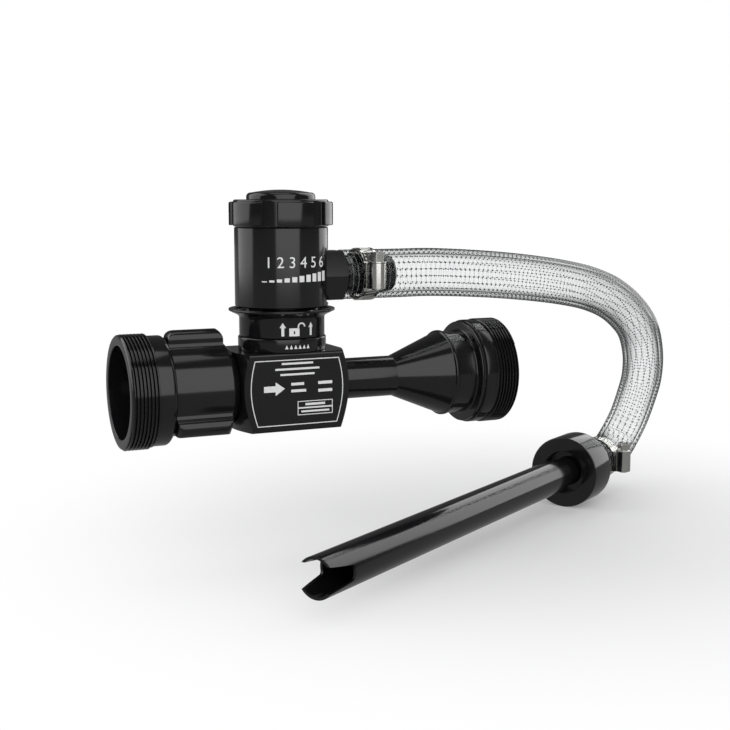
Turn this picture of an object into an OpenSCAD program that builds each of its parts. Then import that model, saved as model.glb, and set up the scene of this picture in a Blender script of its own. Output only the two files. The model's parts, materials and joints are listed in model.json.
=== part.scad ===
// In-line jet eductor with a detachable metering head, suction hose and pick-up wand.
// Water enters the swivel coupling, crosses the jet nozzle and leaves by the diffuser.
// The jet draws liquid from the wand through the metering head on top.
// The origin is the middle of the outlet face, +X is the way the water leaves, +Z is up.

/* [Hose threads] */
// Major diameter of the inlet and outlet hose threads
thread_d = 75.18; // [72:0.02:84]
// Bore at both threaded mouths
mouth_d = 60.8; // [54:0.2:64]
// Length of the inlet thread
inlet_thread_l = 19; // [14:0.5:26]
// Length of the outlet thread
outlet_thread_l = 19; // [13:0.5:26]
// Diameter of the plain collar behind the inlet thread
inlet_collar_d = 72; // [68:0.5:72]
// Length of the plain collar behind the inlet thread
inlet_collar_l = 10.7; // [8:0.1:20]
// Diameter of the plain collar behind the outlet thread
outlet_collar_d = 74; // [70:0.5:74]
// Length of the plain collar behind the outlet thread
outlet_collar_l = 7.2; // [5:0.1:20]

/* [Inlet swivel] */
// Outside diameter of the swivel coupling
coupling_d = 61; // [59:0.5:66]
// Length of the swivel coupling
coupling_l = 43.8; // [42:0.1:60]
// Height of a grip lug above the coupling
lug_h = 9.5; // [6:0.5:12]
// Diameter of a lug's rounded crest
lug_d = 12; // [8:0.5:16]
// Diameter of the nipple that screws into the coupling
nipple_d = 47.8; // [46:0.1:50]
// Diameter of the neck that the coupling turns on
neck_d = 43; // [42:0.1:44]
// Diameter of a race ball
race_ball_d = 4.8; // [3:0.1:5]
// Number of race balls
race_balls_n = 20; // [12:1:22]

/* [Block] */
// Length of the block along the flow
block_l = 75; // [68:0.5:90]
// Width of the block across the flow
block_w = 57; // [54:0.5:60]
// Height of the block's top face above the flow line
block_top = 23.5; // [22:0.5:28]
// Diameter of the flow bore that holds the nozzle
nozzle_d = 34; // [32:0.1:34.6]
// Diameter of the jet at the nozzle's throat
throat_d = 13.8; // [8:0.1:16]

/* [Diffuser] */
// Outside diameter of the straight tube
tube_d = 28.1; // [27:0.1:34]
// Length of the straight tube
tube_l = 43.5; // [30:0.5:70]
// Length of the cone
cone_l = 37; // [28:0.5:60]
// Outside diameter of the bell behind the cone
bell_d = 59; // [56:0.5:66]
// Length of the bell
bell_l = 17.6; // [10:0.1:24]
// Diameter of the rim at the end of the bell
rim_d = 72; // [68:0.5:74]
// Length of the rim
rim_l = 2; // [1.5:0.1:12]
// Bore of the mixing tube
mixing_d = 18; // [16:0.1:19]
// Diameter of the outlet nipple that screws into the bell
outlet_nipple_d = 52; // [48:0.5:53]

/* [Quick coupling] */
// How far the fixed ring under the sleeve stands out past the block's sides
ring_over = 1.1; // [0:0.1:2]
// Height of the fixed ring
ring_h = 9; // [6:0.5:14]
// Diameter of the plug that enters the head
plug_d = 36; // [34:0.1:37]
// Outside diameter of the release sleeve
sleeve_d = 57.4; // [54:0.2:60]
// Height of the release sleeve
sleeve_h = 18.2; // [17:0.1:24]
// Reach of the sleeve's flared lip beyond the head
lip_reach = 4.4; // [3.2:0.1:6.7]
// Lift that frees the lock balls
sleeve_travel = 2.5; // [2.2:0.1:2.7]
// Diameter of a lock ball
lock_ball_d = 5; // [4:0.1:5.4]
// Number of lock balls
lock_balls_n = 10; // [6:1:12]

/* [Metering head] */
// Outside diameter of the head
head_d = 62.6; // [59:0.2:63]
// Height of the head
head_h = 52.5; // [50:0.5:70]
// Height of the flat that the hose fitting seats on
seat_h = 35.6; // [33.6:0.1:35.6]
// Diameter of the knob between its lobes
knob_d = 63.5; // [56:0.5:64]
// Diameter over the knob's lobes
lobe_d = 69.4; // [66:0.2:76]
// Height of the knob
knob_h = 17.7; // [15:0.1:24]
// Number of lobes, one for each setting
lobes_n = 6; // [4:1:8]
// Diameter of the cap on top of the knob
cap_d = 46; // [30:0.2:50]
// Height of the cap above the knob
cap_h = 6.5; // [4:0.1:10]

/* [Suction line] */
// Outside diameter of the suction hose
hose_d = 34; // [33.6:0.1:38]
// Inside diameter of the suction hose over the barbs
hose_bore_d = 27; // [26.8:0.1:28]
// Width across the flats of the head's hose fitting
fitting_flats = 33; // [28:0.5:33.5]
// Length of the fitting's hexagon
fitting_hex_l = 17.5; // [10:0.5:24]
// Length of the barb in the head's end of the hose
head_barb_l = 38; // [20:0.5:40]
// Width of a hose clamp's band
band_w = 12; // [8:0.5:14]
// Outside diameter of the wand tube
wand_d = 27; // [26:0.1:32]
// Wall of the wand tube
wand_wall = 1.9; // [1.4:0.1:2]
// Length of the wand tube
wand_l = 322; // [200:1:500]
// Width of the slot across the wand's tip
tip_slot_w = 17; // [12:0.5:18]
// Length of the slot across the wand's tip
tip_slot_l = 23; // [16:0.5:40]
// Width of the slot at its root
tip_root_w = 10.5; // [7:0.5:12]
// Diameter of the wand's grip flange
flange_d = 57.8; // [50:0.2:70]
// Thickness of the wand's grip flange
flange_t = 32; // [16:0.5:40]
// Drop of the wand's line below the head's hose port
hose_drop = 172; // [150:0.5:190]

/* [Fits] */
// Radial clearance of turning and sliding pieces
running_gap = 0.1; // [0.05:0.01:0.15]
// Radial clearance of pieces that are screwed or pushed together
joint_gap = 0.05; // [0.02:0.01:0.1]
// Gap between faces that move past each other
face_gap = 0.3; // [0.2:0.05:0.6]

/* [Hidden] */
$fn = 96;

anodised = "#1b1c1e";
black_brass = "#202124";
rubber = "#0f0f10";
steel = "#b9bcc0";
clear_hose = "#dfe4e6";

// Stations along the flow, measured from the head's axis
block_end = block_l / 2;
bell_start = block_end + tube_l + cone_l;
rim_start = bell_start + bell_l;
rim_end = rim_start + rim_l;
gasket_t = 1.2;
outlet_collar_start = rim_end + gasket_t;
outlet_thread_start = outlet_collar_start + outlet_collar_l;
outlet_end = outlet_thread_start + outlet_thread_l;
swivel_gap = 1;
coupling_end = block_end + swivel_gap;
coupling_start = coupling_end + coupling_l;
inlet_thread_start = coupling_start + inlet_collar_l;
inlet_end = inlet_thread_start + inlet_thread_l;
head_x = -outlet_end;

// Swivel and nozzle
neck_l = 20.5;
neck_end = block_end + neck_l;
race_x = neck_end - 8;
race_pitch_r = (neck_d + running_gap) / 2;
race_r = race_ball_d / 2 + running_gap;
race_plug_d = 5.9;
race_plug_turn = 204;
lug_turn = 9;
lug_fillet = 4;
lug_nose = 5.5;
coupling_nose = 5.5;
swivel_seal_x = neck_end - 2.8;
swivel_wire_d = 2.4;
swivel_groove_w = 2.8;
swivel_groove_r = neck_d / 2 - 2.5;
nozzle_seal = 7;
nozzle_wire_d = 2.1;
nozzle_groove = 2.2;
nipple_end = neck_end + 4.5;
gasket_start = nipple_end - 1.5;
neck_bore_r = nozzle_d / 2 + joint_gap;
nozzle_seat = 18;
nozzle_start = block_end - 1.5;
nozzle_tip = 5;
throat_l = 4;
chamber_r = 13.05;
spigot_r = chamber_r - joint_gap;
spigot_start = 12;

// Heights above the flow line
ring_top = block_top + ring_h;
sleeve_low = ring_top + face_gap;
lip_top = sleeve_low + sleeve_h;
head_gap = 1.5;
head_low = lip_top + head_gap;
head_top = head_low + head_h;
seat_rise = 1.8;
port_z = head_low + seat_rise + seat_h / 2;
knob_low = head_top + 0.4;
knob_top = knob_low + knob_h;
cap_top = knob_top + cap_h;
plug_top = head_low + 7.5;
plug_low = chamber_r + 1;
lock_rise = 8;
lock_z = ring_top + lock_rise;
roof_t = 8;
drum_low = plug_top + 1;
drum_top = head_top - roof_t - 0.5;
stem_top = knob_low + 7.8;
knob_floor_t = 3;

// Quick coupling
plug_r = plug_d / 2;
bore_r = plug_r + running_gap;
lock_bite = 0.6;
lock_pitch_r = plug_r - lock_bite + lock_ball_d / 2;
skirt_r = lock_pitch_r + lock_ball_d / 2;
land_r = skirt_r + running_gap;
release_r = land_r + lock_bite + 0.5;
skirt_low = ring_top + 0.9;
land_half = 2;
land_h = 4;
land_low = lock_z + land_half - sleeve_travel;
land_top = lock_z + land_h;
spring_wire_d = 1.1;
spring_mean_r = skirt_r + 1.05 + spring_wire_d / 2;
spring_pocket_r = spring_mean_r + spring_wire_d / 2 + 0.85;
lip_d = head_d + 2 * lip_reach;
lip_bore_r = head_d / 2 + 0.4;
lip_floor = head_low - sleeve_travel - 1.4;
lip_t = 1.4;
snap_t = 1;
snap_z = skirt_low + 1.3;
snap_depth = 1;

// Check valve in the plug
spigot_d = 28;
check_ball_d = 17;
check_bore_r = 11;
ball_pin_d = 3;
ball_pin_z = plug_low + 3;
check_ball_z = ball_pin_z + (ball_pin_d + check_ball_d) / 2 + running_gap;
check_seat_z = check_ball_z + check_ball_d / 2 + 0.5;
plug_bore_r = 6.5;

// Drum and knob
drum_r = bore_r - running_gap;
drum_wall = 4;
stem_r = 6;
stem_flats = 8.5;
orifice_r = [8, 1.2, 1.7, 2.4, 3.2, 4.2, 5, 6];
screw_r = 2.5;
screw_head_r = 4.25;
screw_head_h = 5;
screw_l = 12;
cap_socket_r = 9;
lobe_angle = 42 * 6 / lobes_n;
lobe_turn = 27 - lobe_angle / 2;
detent_r = 13;
detent_ball_d = 5;
detent_hole_r = detent_ball_d / 2 + running_gap;
detent_z = head_top - 1;
detent_depth = 6.5;
detent_wire_d = 0.7;

// Hose fitting and clamps
seat_depth = 6.3;
seat_end = head_d / 2 - seat_depth;
port_r = 13;
port_bore_r = 9.5;
barb_root_r = 12.2;
barb_crest_r = hose_bore_d / 2 - 0.3;
barb_pitch = 7;
fitting_end = seat_end + fitting_hex_l;
band_t = 0.9;
band_r = hose_d / 2 + 0.15;
head_band_x = 17.2;
wand_band_x = 11;
housing_w = 13;
housing_h = 17;
housing_screw_r = 3.6;
housing_barrel_r = 6;
housing_screw_y = band_r + band_t + housing_barrel_r;
clamp_head_flats = 9.2;
clamp_head_h = 7.4;

// Points along the middle of the hose, measured from the fitting's shoulder
route_points = [
    [0, 0, 0], [22, 0, 0], [44, 0, 0], [67.5, 1, 0], [97.5, 3, -1.5], [129.5, 6, -4], [161.5, 10, -7.5],
    [192.5, 16, -12], [221.5, 24, -18], [248.5, 34, -27], [273.5, 46, -40], [295.5, 60, -56],
    [312.5, 75, -78], [323.5, 90, -101], [328.5, 104, -122], [328.5, 114, -142], [322.5, 118, -158],
    [311.5, 113.6, -167.6], [301, 107.6, -170.9], [292.5, 102.5, -171.5],
    [284, 97.25, -171.5], [275.5, 92, -171.5]
];
drop_scale = -hose_drop / route_points[len(route_points) - 1].z;
hose_route = [for (p = route_points) [p.x, p.y, p.z * drop_scale]];
hose_start = [head_x + fitting_end, 0, port_z];
hose_sides = 12;
route_steps = 3;

// The wand lies on the line of the last stretch of hose
wand_tail = hose_start + hose_route[len(hose_route) - 1];
wand_back = hose_route[len(hose_route) - 2] - hose_route[len(hose_route) - 1];
wand_turn = atan2(wand_back.y, wand_back.x);
wand_barb_l = 21;
wand_shank_l = 22;
wand_shank_r = 16.5;
flange_back = wand_shank_l + 4;
flange_front = flange_back + flange_t;
recess_r = wand_d / 2 + 4;
recess_depth = 10;
neck_show = 23;
tube_start = flange_front + neck_show;
tube_bore_r = wand_d / 2 - wand_wall;
socket_l = 20;
wand_tip = tube_start + wand_l;

// Points of an arc from one angle to another
function arc(centre, r, from, to, steps = 8) =
    [for (i = [0:steps]) let (a = from + (to - from) * i / steps) centre + r * [cos(a), sin(a)]];

function unit(v) = v / norm(v);

// A smooth curve through the route's points, by Catmull and Rom's rule
function route_at(p, i) = i < 0 ? 2 * p[0] - p[1] : i >= len(p) ? 2 * p[i - 1] - p[i - 2] : p[i];
function smooth_point(a, b, c, d, t) =
    0.5 * (2 * b + (c - a) * t + (2 * a - 5 * b + 4 * c - d) * t * t + (3 * b - a - 3 * c + d) * t * t * t);
function smooth(p, steps) = concat(
    [for (i = [0:len(p) - 2]) for (k = [0:steps - 1])
        smooth_point(route_at(p, i - 1), p[i], p[i + 1], route_at(p, i + 2), k / steps)],
    [p[len(p) - 1]]);
function headings(p) = [for (i = [0:len(p) - 1])
    unit(p[min(i + 1, len(p) - 1)] - p[max(i - 1, 0)])];
function normals(t, n, i = 0) = i == len(t) ? [] :
    let (m = unit(n - (n * t[i]) * t[i])) concat([m], normals(t, m, i + 1));

// One ring of points round every point of a path
function rings(p, n, t, r, sides) = [for (i = [0:len(p) - 1]) for (k = [0:sides - 1])
    let (a = 360 * k / sides) p[i] + r * (cos(a) * n[i] + sin(a) * cross(t[i], n[i]))];
function tube_skin(count, sides, first, outward) = [for (i = [0:count - 2]) for (k = [0:sides - 1])
    let (a = first + i * sides + k, b = first + i * sides + (k + 1) % sides)
    outward ? [a, a + sides, b + sides, b] : [a, b, b + sides, a + sides]];

// A wire of round section along a helix about Z
module coil(mean_r, wire_d, low, high, turns, sides = 8) {
    steps = ceil(turns * 20);
    path = [for (i = [0:steps]) let (a = 360 * turns * i / steps)
        [mean_r * cos(a), mean_r * sin(a), low + wire_d / 2 + (high - low - wire_d) * i / steps]];
    heads = headings(path);
    sideways = normals(heads, [1, 0, 0]);
    points = rings(path, sideways, heads, wire_d / 2, sides);
    caps = [[for (k = [0:sides - 1]) k], [for (k = [sides - 1:-1:0]) steps * sides + k]];
    polyhedron(points, concat(tube_skin(steps + 1, sides, 0, true), caps), convexity = 6);
}

// A profile of radius and station, turned about the flow line
module turned_on_flow(profile) {
    translate([head_x, 0, 0])
        rotate([0, 90, 0])
            rotate_extrude()
                polygon(profile);
}

// A profile of radius and height, turned about the head's axis
module turned_on_head(profile) {
    translate([head_x, 0, 0])
        rotate_extrude()
            polygon(profile);
}

// A ring of round section for an O-ring or a ball race
module torus(ring_r, wire_r) {
    rotate_extrude()
        translate([ring_r, 0])
            circle(wire_r, $fn = 32);
}

module on_flow(x) {
    translate([head_x + x, 0, 0])
        rotate([0, 90, 0])
            children();
}

module on_head(z) {
    translate([head_x, 0, z])
        children();
}

module on_port() {
    translate([head_x, 0, port_z])
        rotate([0, 90, 0])
            children();
}

module on_wand() {
    translate(wand_tail)
        rotate([0, 0, wand_turn])
            children();
}

// A plain rectangle with round corners, from its lowest to its highest corner
module round_rect(low, high, r) {
    translate([low.x + r, low.y])
        square([high.x - low.x - 2 * r, high.y - low.y]);
    translate([low.x, low.y + r])
        square([high.x - low.x, high.y - low.y - 2 * r]);
    for (x = [low.x + r, high.x - r], y = [low.y + r, high.y - r])
        translate([x, y])
            circle(r, $fn = 32);
}

// Block

module body_block() {
    crown_r = block_w / sqrt(2) + 1.7;
    face_r = block_w / 2 - 1.5;
    crown_l = (crown_r - face_r) / 2;
    crown = [
        [0, -block_end], [face_r, -block_end], [crown_r, crown_l - block_end],
        [crown_r, block_end - crown_l], [face_r, block_end], [0, block_end]
    ];
    color(anodised)
        difference() {
            union() {
                intersection() {
                    translate([head_x, 0, 0])
                        rotate([90, 0, 90])
                            linear_extrude(block_l, center = true)
                                round_rect([-block_w / 2, -block_w / 2], [block_w / 2, block_top], 1.5);
                    turned_on_flow(crown);
                }
                on_flow(-neck_end)
                    cylinder(d = neck_d, h = neck_l + 1);
            }
            on_flow(-neck_end - 1)
                cylinder(r = neck_bore_r, h = neck_end - nozzle_seat + 1);
            on_flow(-nozzle_seat - 1)
                cylinder(r = chamber_r, h = block_end + nozzle_seat + 2);
            on_flow(-race_x)
                torus(race_pitch_r, race_r);
            swivel_groove();
            on_head(0)
                cylinder(r = check_bore_r, h = block_top + 1);
            on_head(plug_low)
                cylinder(r = spigot_d / 2 + joint_gap, h = block_top);
        }
}

module swivel_groove() {
    half = swivel_groove_w / 2;
    turned_on_flow([
        [swivel_groove_r, -swivel_seal_x - half], [neck_d / 2 + 1, -swivel_seal_x - half],
        [neck_d / 2 + 1, -swivel_seal_x + half], [swivel_groove_r, -swivel_seal_x + half]
    ]);
}

module swivel_oring() {
    wire_r = swivel_wire_d / 2;
    color(rubber)
        on_flow(-swivel_seal_x)
            torus(swivel_groove_r + wire_r + joint_gap, wire_r);
}

module jet_nozzle() {
    r = nozzle_d / 2;
    groove = nozzle_start - nozzle_seal;
    floor_r = r - nozzle_groove;
    color(black_brass)
        turned_on_flow([
            [r - 2, -nozzle_start], [r, -nozzle_start],
            [r, -groove - 1.6], [floor_r, -groove - 1.6], [floor_r, -groove + 1.6], [r, -groove + 1.6],
            [r, -nozzle_seat], [chamber_r - 0.5, -nozzle_seat], [throat_d / 2 + 2, -nozzle_tip],
            [throat_d / 2, -nozzle_tip], [throat_d / 2, -nozzle_tip - throat_l]
        ]);
}

module nozzle_oring() {
    wire_r = nozzle_wire_d / 2;
    color(rubber)
        on_flow(-nozzle_start + nozzle_seal)
            torus(nozzle_d / 2 - nozzle_groove + wire_r + joint_gap, wire_r);
}

// Diffuser and outlet

module diffuser() {
    mix_r = mixing_d / 2;
    widening = block_end + tube_l - 9;
    socket_r = outlet_nipple_d / 2 + joint_gap;
    socket_floor = bell_start + 3;
    groove = block_end - 8;
    groove_r = spigot_r - 2;
    bead_wire_r = 1.5;
    bead_r = bell_d / 2 + 0.8;
    rim_r = rim_d / 2;
    edge = 0.6;
    color(anodised)
        turned_on_flow(concat(
            arc([mix_r + 3.5, spigot_start + 3.5], 3.5, 180, 225, 6),
            [
                [spigot_r - 0.4, spigot_start + 1.1], [spigot_r, spigot_start + 1.5],
                [spigot_r, groove - 1.5], [groove_r, groove - 1.5],
                [groove_r, groove + 1.5], [spigot_r, groove + 1.5],
                [spigot_r, block_end], [tube_d / 2, block_end], [tube_d / 2, block_end + tube_l],
                [bell_d / 2, bell_start]
            ],
            arc([bead_r - bead_wire_r, bell_start + bead_wire_r], bead_wire_r, -60, 60, 6),
            [
                [bell_d / 2, bell_start + 2 * bead_wire_r],
                [bell_d / 2, rim_start - 1], [bell_d / 2 + 1, rim_start],
                [rim_r - edge, rim_start], [rim_r, rim_start + edge],
                [rim_r, rim_end - edge], [rim_r - edge, rim_end],
                [socket_r, rim_end], [socket_r, socket_floor], [socket_r - 4, socket_floor],
                [mix_r, widening]
            ]));
}

module diffuser_oring() {
    wire_r = 0.95;
    color(rubber)
        on_flow(block_end - 8)
            torus(spigot_r - 2 + wire_r + joint_gap, wire_r);
}

module outlet_gasket() {
    color(rubber)
        on_flow(rim_end)
            difference() {
                cylinder(d = rim_d - 1.6, h = gasket_t);
                translate([0, 0, -1])
                    cylinder(d = outlet_nipple_d + 0.4, h = gasket_t + 2);
            }
}

module outlet_adapter() {
    nipple_r = outlet_nipple_d / 2;
    nipple_start = bell_start + 3.2;
    collar_r = outlet_collar_d / 2;
    mouth_start = outlet_collar_start + outlet_collar_l + 2;
    color(anodised)
        turned_on_flow([
            [nipple_r - 4, nipple_start], [nipple_r - 0.6, nipple_start], [nipple_r, nipple_start + 0.6],
            [nipple_r, outlet_collar_start], [collar_r - 1.5, outlet_collar_start],
            [collar_r, outlet_collar_start + 1.5], [collar_r, outlet_thread_start],
            [thread_d / 2, outlet_thread_start], [thread_d / 2, outlet_end],
            [mouth_d / 2, outlet_end], [mouth_d / 2, mouth_start], [nipple_r - 4, outlet_collar_start + 1]
        ]);
}

// Inlet swivel

// A rounded lug with hollow flanks that run into the coupling's wall
module lug_section() {
    crest_r = lug_d / 2;
    crest_y = coupling_d / 2 + lug_h - crest_r;
    foot = coupling_d / 2 + lug_fillet;
    reach = crest_r + lug_fillet;
    fillet_y = (foot * foot - reach * reach + crest_y * crest_y) / (2 * crest_y);
    fillet_x = sqrt(foot * foot - fillet_y * fillet_y);
    fillet = [fillet_x, fillet_y];
    on_wall = fillet * (coupling_d / 2) / foot;
    on_crest = [fillet.x * crest_r / reach, crest_y + (fillet.y - crest_y) * crest_r / reach];
    translate([0, crest_y])
        circle(crest_r, $fn = 48);
    difference() {
        polygon([
            [0, coupling_d / 2 - 3], on_wall, on_crest, [-on_crest.x, on_crest.y], [-on_wall.x, on_wall.y]
        ]);
        for (side = [-1, 1])
            translate([side * fillet.x, fillet.y])
                circle(lug_fillet, $fn = 48);
    }
}

module swivel_coupling() {
    wall_r = coupling_d / 2;
    crest_r = wall_r + lug_h;
    race_bore_r = neck_d / 2 + running_gap;
    lug_from = -coupling_start + 0.6;
    lug_to = -coupling_end - coupling_nose - 1;
    color(anodised)
        difference() {
            union() {
                turned_on_flow([
                    [race_bore_r - 1, -coupling_start], [wall_r, -coupling_start],
                    [wall_r, -coupling_end - coupling_nose], [wall_r - coupling_nose, -coupling_end],
                    [race_bore_r - 1, -coupling_end]
                ]);
                intersection() {
                    turned_on_flow(concat(
                        [[wall_r - 2, lug_from]],
                        arc([crest_r - lug_nose, lug_from + lug_nose], lug_nose, -90, 0),
                        arc([crest_r - lug_nose, lug_to - lug_nose], lug_nose, 0, 90),
                        [[wall_r - 2, lug_to]]));
                    for (i = [0:2])
                        rotate([lug_turn + 120 * i, 0, 0])
                            translate([head_x - coupling_start, 0, 0])
                                rotate([90, 0, 90])
                                    linear_extrude(coupling_l)
                                        lug_section();
                }
            }
            on_flow(-coupling_start - 1)
                cylinder(r = nipple_d / 2 + joint_gap, h = coupling_start - gasket_start + 1);
            on_flow(-gasket_start - 1)
                cylinder(r = race_bore_r, h = gasket_start);
            on_flow(-race_x)
                torus(race_pitch_r, race_r);
            race_plug_place()
                cylinder(d = race_plug_d + 2 * joint_gap, h = coupling_d);
        }
}

// The filling hole of the ball race, on the underside between two lugs
module race_plug_place() {
    rotate([race_plug_turn, 0, 0])
        translate([head_x - race_x, 0, race_pitch_r + race_r + 0.05])
            children();
}

module race_plug() {
    plug_l = coupling_d / 2 - race_pitch_r - race_r - 0.6;
    color(steel)
        race_plug_place()
            difference() {
                cylinder(d = race_plug_d, h = plug_l);
                translate([0, 0, plug_l - 1])
                    cube([race_plug_d + 1, 1, 2.4], center = true);
            }
}

module race_balls() {
    color(steel)
        for (i = [0:race_balls_n - 1])
            rotate([360 * i / race_balls_n, 0, 0])
                translate([head_x - race_x, 0, race_pitch_r])
                    sphere(d = race_ball_d, $fn = 32);
}

module inlet_gasket() {
    color(rubber)
        on_flow(-nipple_end)
            difference() {
                cylinder(r = nipple_d / 2 - 0.1, h = nipple_end - gasket_start);
                translate([0, 0, -1])
                    cylinder(r = nipple_d / 2 - 5.5, h = 4);
            }
}

module inlet_adapter() {
    nipple_r = nipple_d / 2;
    waist_r = nipple_r - 4.9;
    collar_r = inlet_collar_d / 2;
    edge_r = 3;
    color(anodised)
        turned_on_flow(concat(
            [
                [mouth_d / 2, -inlet_end], [thread_d / 2, -inlet_end], [thread_d / 2, -inlet_thread_start],
                [collar_r, -inlet_thread_start]
            ],
            arc([collar_r - edge_r, -coupling_start - edge_r], edge_r, 0, 90),
            [
                [nipple_r, -coupling_start], [nipple_r, -nipple_end - 0.6], [nipple_r - 0.6, -nipple_end],
                [waist_r, -nipple_end], [waist_r, -coupling_start - 2],
                [mouth_d / 2, -inlet_thread_start - 2]
            ]));
}

// Quick coupling plug and check valve

module quick_plug() {
    ring_r = block_w / 2 + ring_over;
    groove_r = plug_r - 2.6;
    spigot = spigot_d / 2;
    groove = plug_top - 5.4;
    color(anodised)
        difference() {
            turned_on_head([
                [check_bore_r, plug_low], [spigot, plug_low], [spigot, block_top],
                [ring_r - 0.8, block_top], [ring_r, block_top + 0.8],
                [ring_r, ring_top - 0.8], [ring_r - 0.8, ring_top],
                [plug_r, ring_top], [plug_r, groove - 1.6], [groove_r, groove - 1.6],
                [groove_r, groove + 1.6], [plug_r, groove + 1.6],
                [plug_r, plug_top - 1], [plug_r - 1, plug_top],
                [plug_bore_r, plug_top], [plug_bore_r, check_seat_z + 4.5], [check_bore_r, check_seat_z]
            ]);
            on_head(lock_z)
                torus(lock_pitch_r, lock_ball_d / 2 + running_gap);
            on_head(ball_pin_z)
                rotate([90, 0, 0])
                    cylinder(d = ball_pin_d + 2 * joint_gap, h = spigot_d + 2, center = true, $fn = 32);
        }
}

module plug_oring() {
    wire_r = 1.2;
    color(rubber)
        on_head(plug_top - 5.4)
            torus(plug_r - 2.6 + wire_r + joint_gap, wire_r);
}

module ball_pin() {
    color(steel)
        on_head(ball_pin_z)
            rotate([90, 0, 0])
                cylinder(d = ball_pin_d, h = spigot_d - 0.8, center = true, $fn = 32);
}

module check_ball() {
    color("#e8e6df")
        on_head(check_ball_z)
            sphere(d = check_ball_d);
}

// Metering head

module head_body() {
    r = head_d / 2;
    snap_r = skirt_r - snap_depth;
    color(anodised)
        difference() {
            turned_on_head([
                [bore_r, skirt_low], [skirt_r, skirt_low],
                [skirt_r, snap_z], [snap_r, snap_z],
                [snap_r, snap_z + snap_t + 0.2], [skirt_r, snap_z + snap_t + 0.2],
                [skirt_r, head_low], [r - 0.6, head_low], [r, head_low + 0.6], [r, head_top - 0.6],
                [r - 0.6, head_top], [stem_r + running_gap, head_top],
                [stem_r + running_gap, head_top - roof_t], [bore_r, head_top - roof_t]
            ]);
            on_port()
                translate([0, 0, seat_end + head_d / 2])
                    cube([seat_h, head_d, head_d], center = true);
            on_port()
                cylinder(r = port_r + joint_gap, h = head_d);
            for (i = [0:lock_balls_n - 1])
                on_head(lock_z)
                    rotate([0, 90, -90 + 360 * i / lock_balls_n])
                        translate([0, 0, bore_r - 1])
                            cylinder(d = lock_ball_d + 2 * running_gap, h = skirt_r - bore_r + 2, $fn = 32);
            detent_place()
                translate([0, 0, -detent_depth])
                    cylinder(r = detent_hole_r, h = detent_depth + 1, $fn = 32);
        }
}

module detent_place() {
    on_head(head_top)
        translate([0, detent_r, 0])
            children();
}

module lock_balls() {
    color(steel)
        on_head(lock_z)
            for (i = [0:lock_balls_n - 1])
                rotate([0, 0, -90 + 360 * i / lock_balls_n])
                    translate([lock_pitch_r, 0, 0])
                        sphere(d = lock_ball_d, $fn = 32);
}

module sleeve_ring() {
    inner_r = skirt_r - snap_depth + joint_gap;
    color(steel)
        on_head(snap_z + 0.1)
            difference() {
                cylinder(r = release_r - 0.4, h = snap_t);
                translate([0, 0, -1])
                    cylinder(r = inner_r, h = snap_t + 2);
                translate([0, -2.5, -1])
                    cube([release_r + 1, 5, snap_t + 2]);
            }
}

module sleeve_spring() {
    color(steel)
        on_head(0)
            coil(spring_mean_r, spring_wire_d, land_top + 0.1, head_low - 0.1, 2.5);
}

module release_sleeve() {
    r = sleeve_d / 2;
    lip_r = lip_d / 2;
    flare_low = lip_top - 4.7;
    ramp = release_r - land_r;
    color(anodised)
        turned_on_head([
            [release_r, sleeve_low], [r - 0.5, sleeve_low], [r, sleeve_low + 0.5], [r, flare_low],
            [lip_r - 0.4, lip_top - lip_t], [lip_r, lip_top - lip_t + 0.4],
            [lip_r, lip_top - 0.4], [lip_r - 0.4, lip_top],
            [lip_bore_r, lip_top], [lip_bore_r, lip_floor], [spring_pocket_r, lip_floor],
            [spring_pocket_r, land_top], [land_r, land_top],
            [land_r, land_low], [release_r, land_low - ramp]
        ]);
}

module detent_spring() {
    color(steel)
        detent_place()
            coil(detent_hole_r - 0.2 - detent_wire_d / 2, detent_wire_d,
                -detent_depth + 0.1, detent_z - head_top - detent_ball_d / 2 + 0.25, 3, 6);
}

module detent_ball() {
    color(steel)
        detent_place()
            translate([0, 0, detent_z - head_top])
                sphere(d = detent_ball_d, $fn = 32);
}

// The drum carries one metering hole for each setting
module metering_drum() {
    groove = head_top - 4;
    color(black_brass)
        difference() {
            turned_on_head([
                [drum_r - drum_wall, drum_low], [drum_r, drum_low], [drum_r, drum_top], [stem_r, drum_top],
                [stem_r, groove - 0.9], [stem_r - 1.4, groove - 0.9], [stem_r - 1.4, groove + 0.9],
                [stem_r, groove + 0.9], [stem_r, stem_top], [0, stem_top],
                [0, drum_top - drum_wall], [drum_r - drum_wall, drum_top - drum_wall]
            ]);
            for (i = [0:lobes_n - 1])
                on_head(port_z)
                    rotate([0, 90, 360 * i / lobes_n])
                        translate([0, 0, drum_r - drum_wall - 3])
                            cylinder(r = orifice_r[i], h = drum_wall + 4, $fn = 32);
            for (side = [-1, 1])
                on_head(knob_low)
                    translate([-stem_r - 1, side > 0 ? stem_flats / 2 : -stem_flats / 2 - stem_r, 0])
                        cube([2 * stem_r + 2, stem_r, stem_top]);
            on_head(stem_top - screw_l)
                cylinder(r = screw_r + joint_gap, h = screw_l + 1, $fn = 32);
        }
}

module stem_oring() {
    wire_r = 0.65;
    color(rubber)
        on_head(head_top - 4)
            torus(stem_r - 1.4 + wire_r + joint_gap, wire_r);
}

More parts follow.
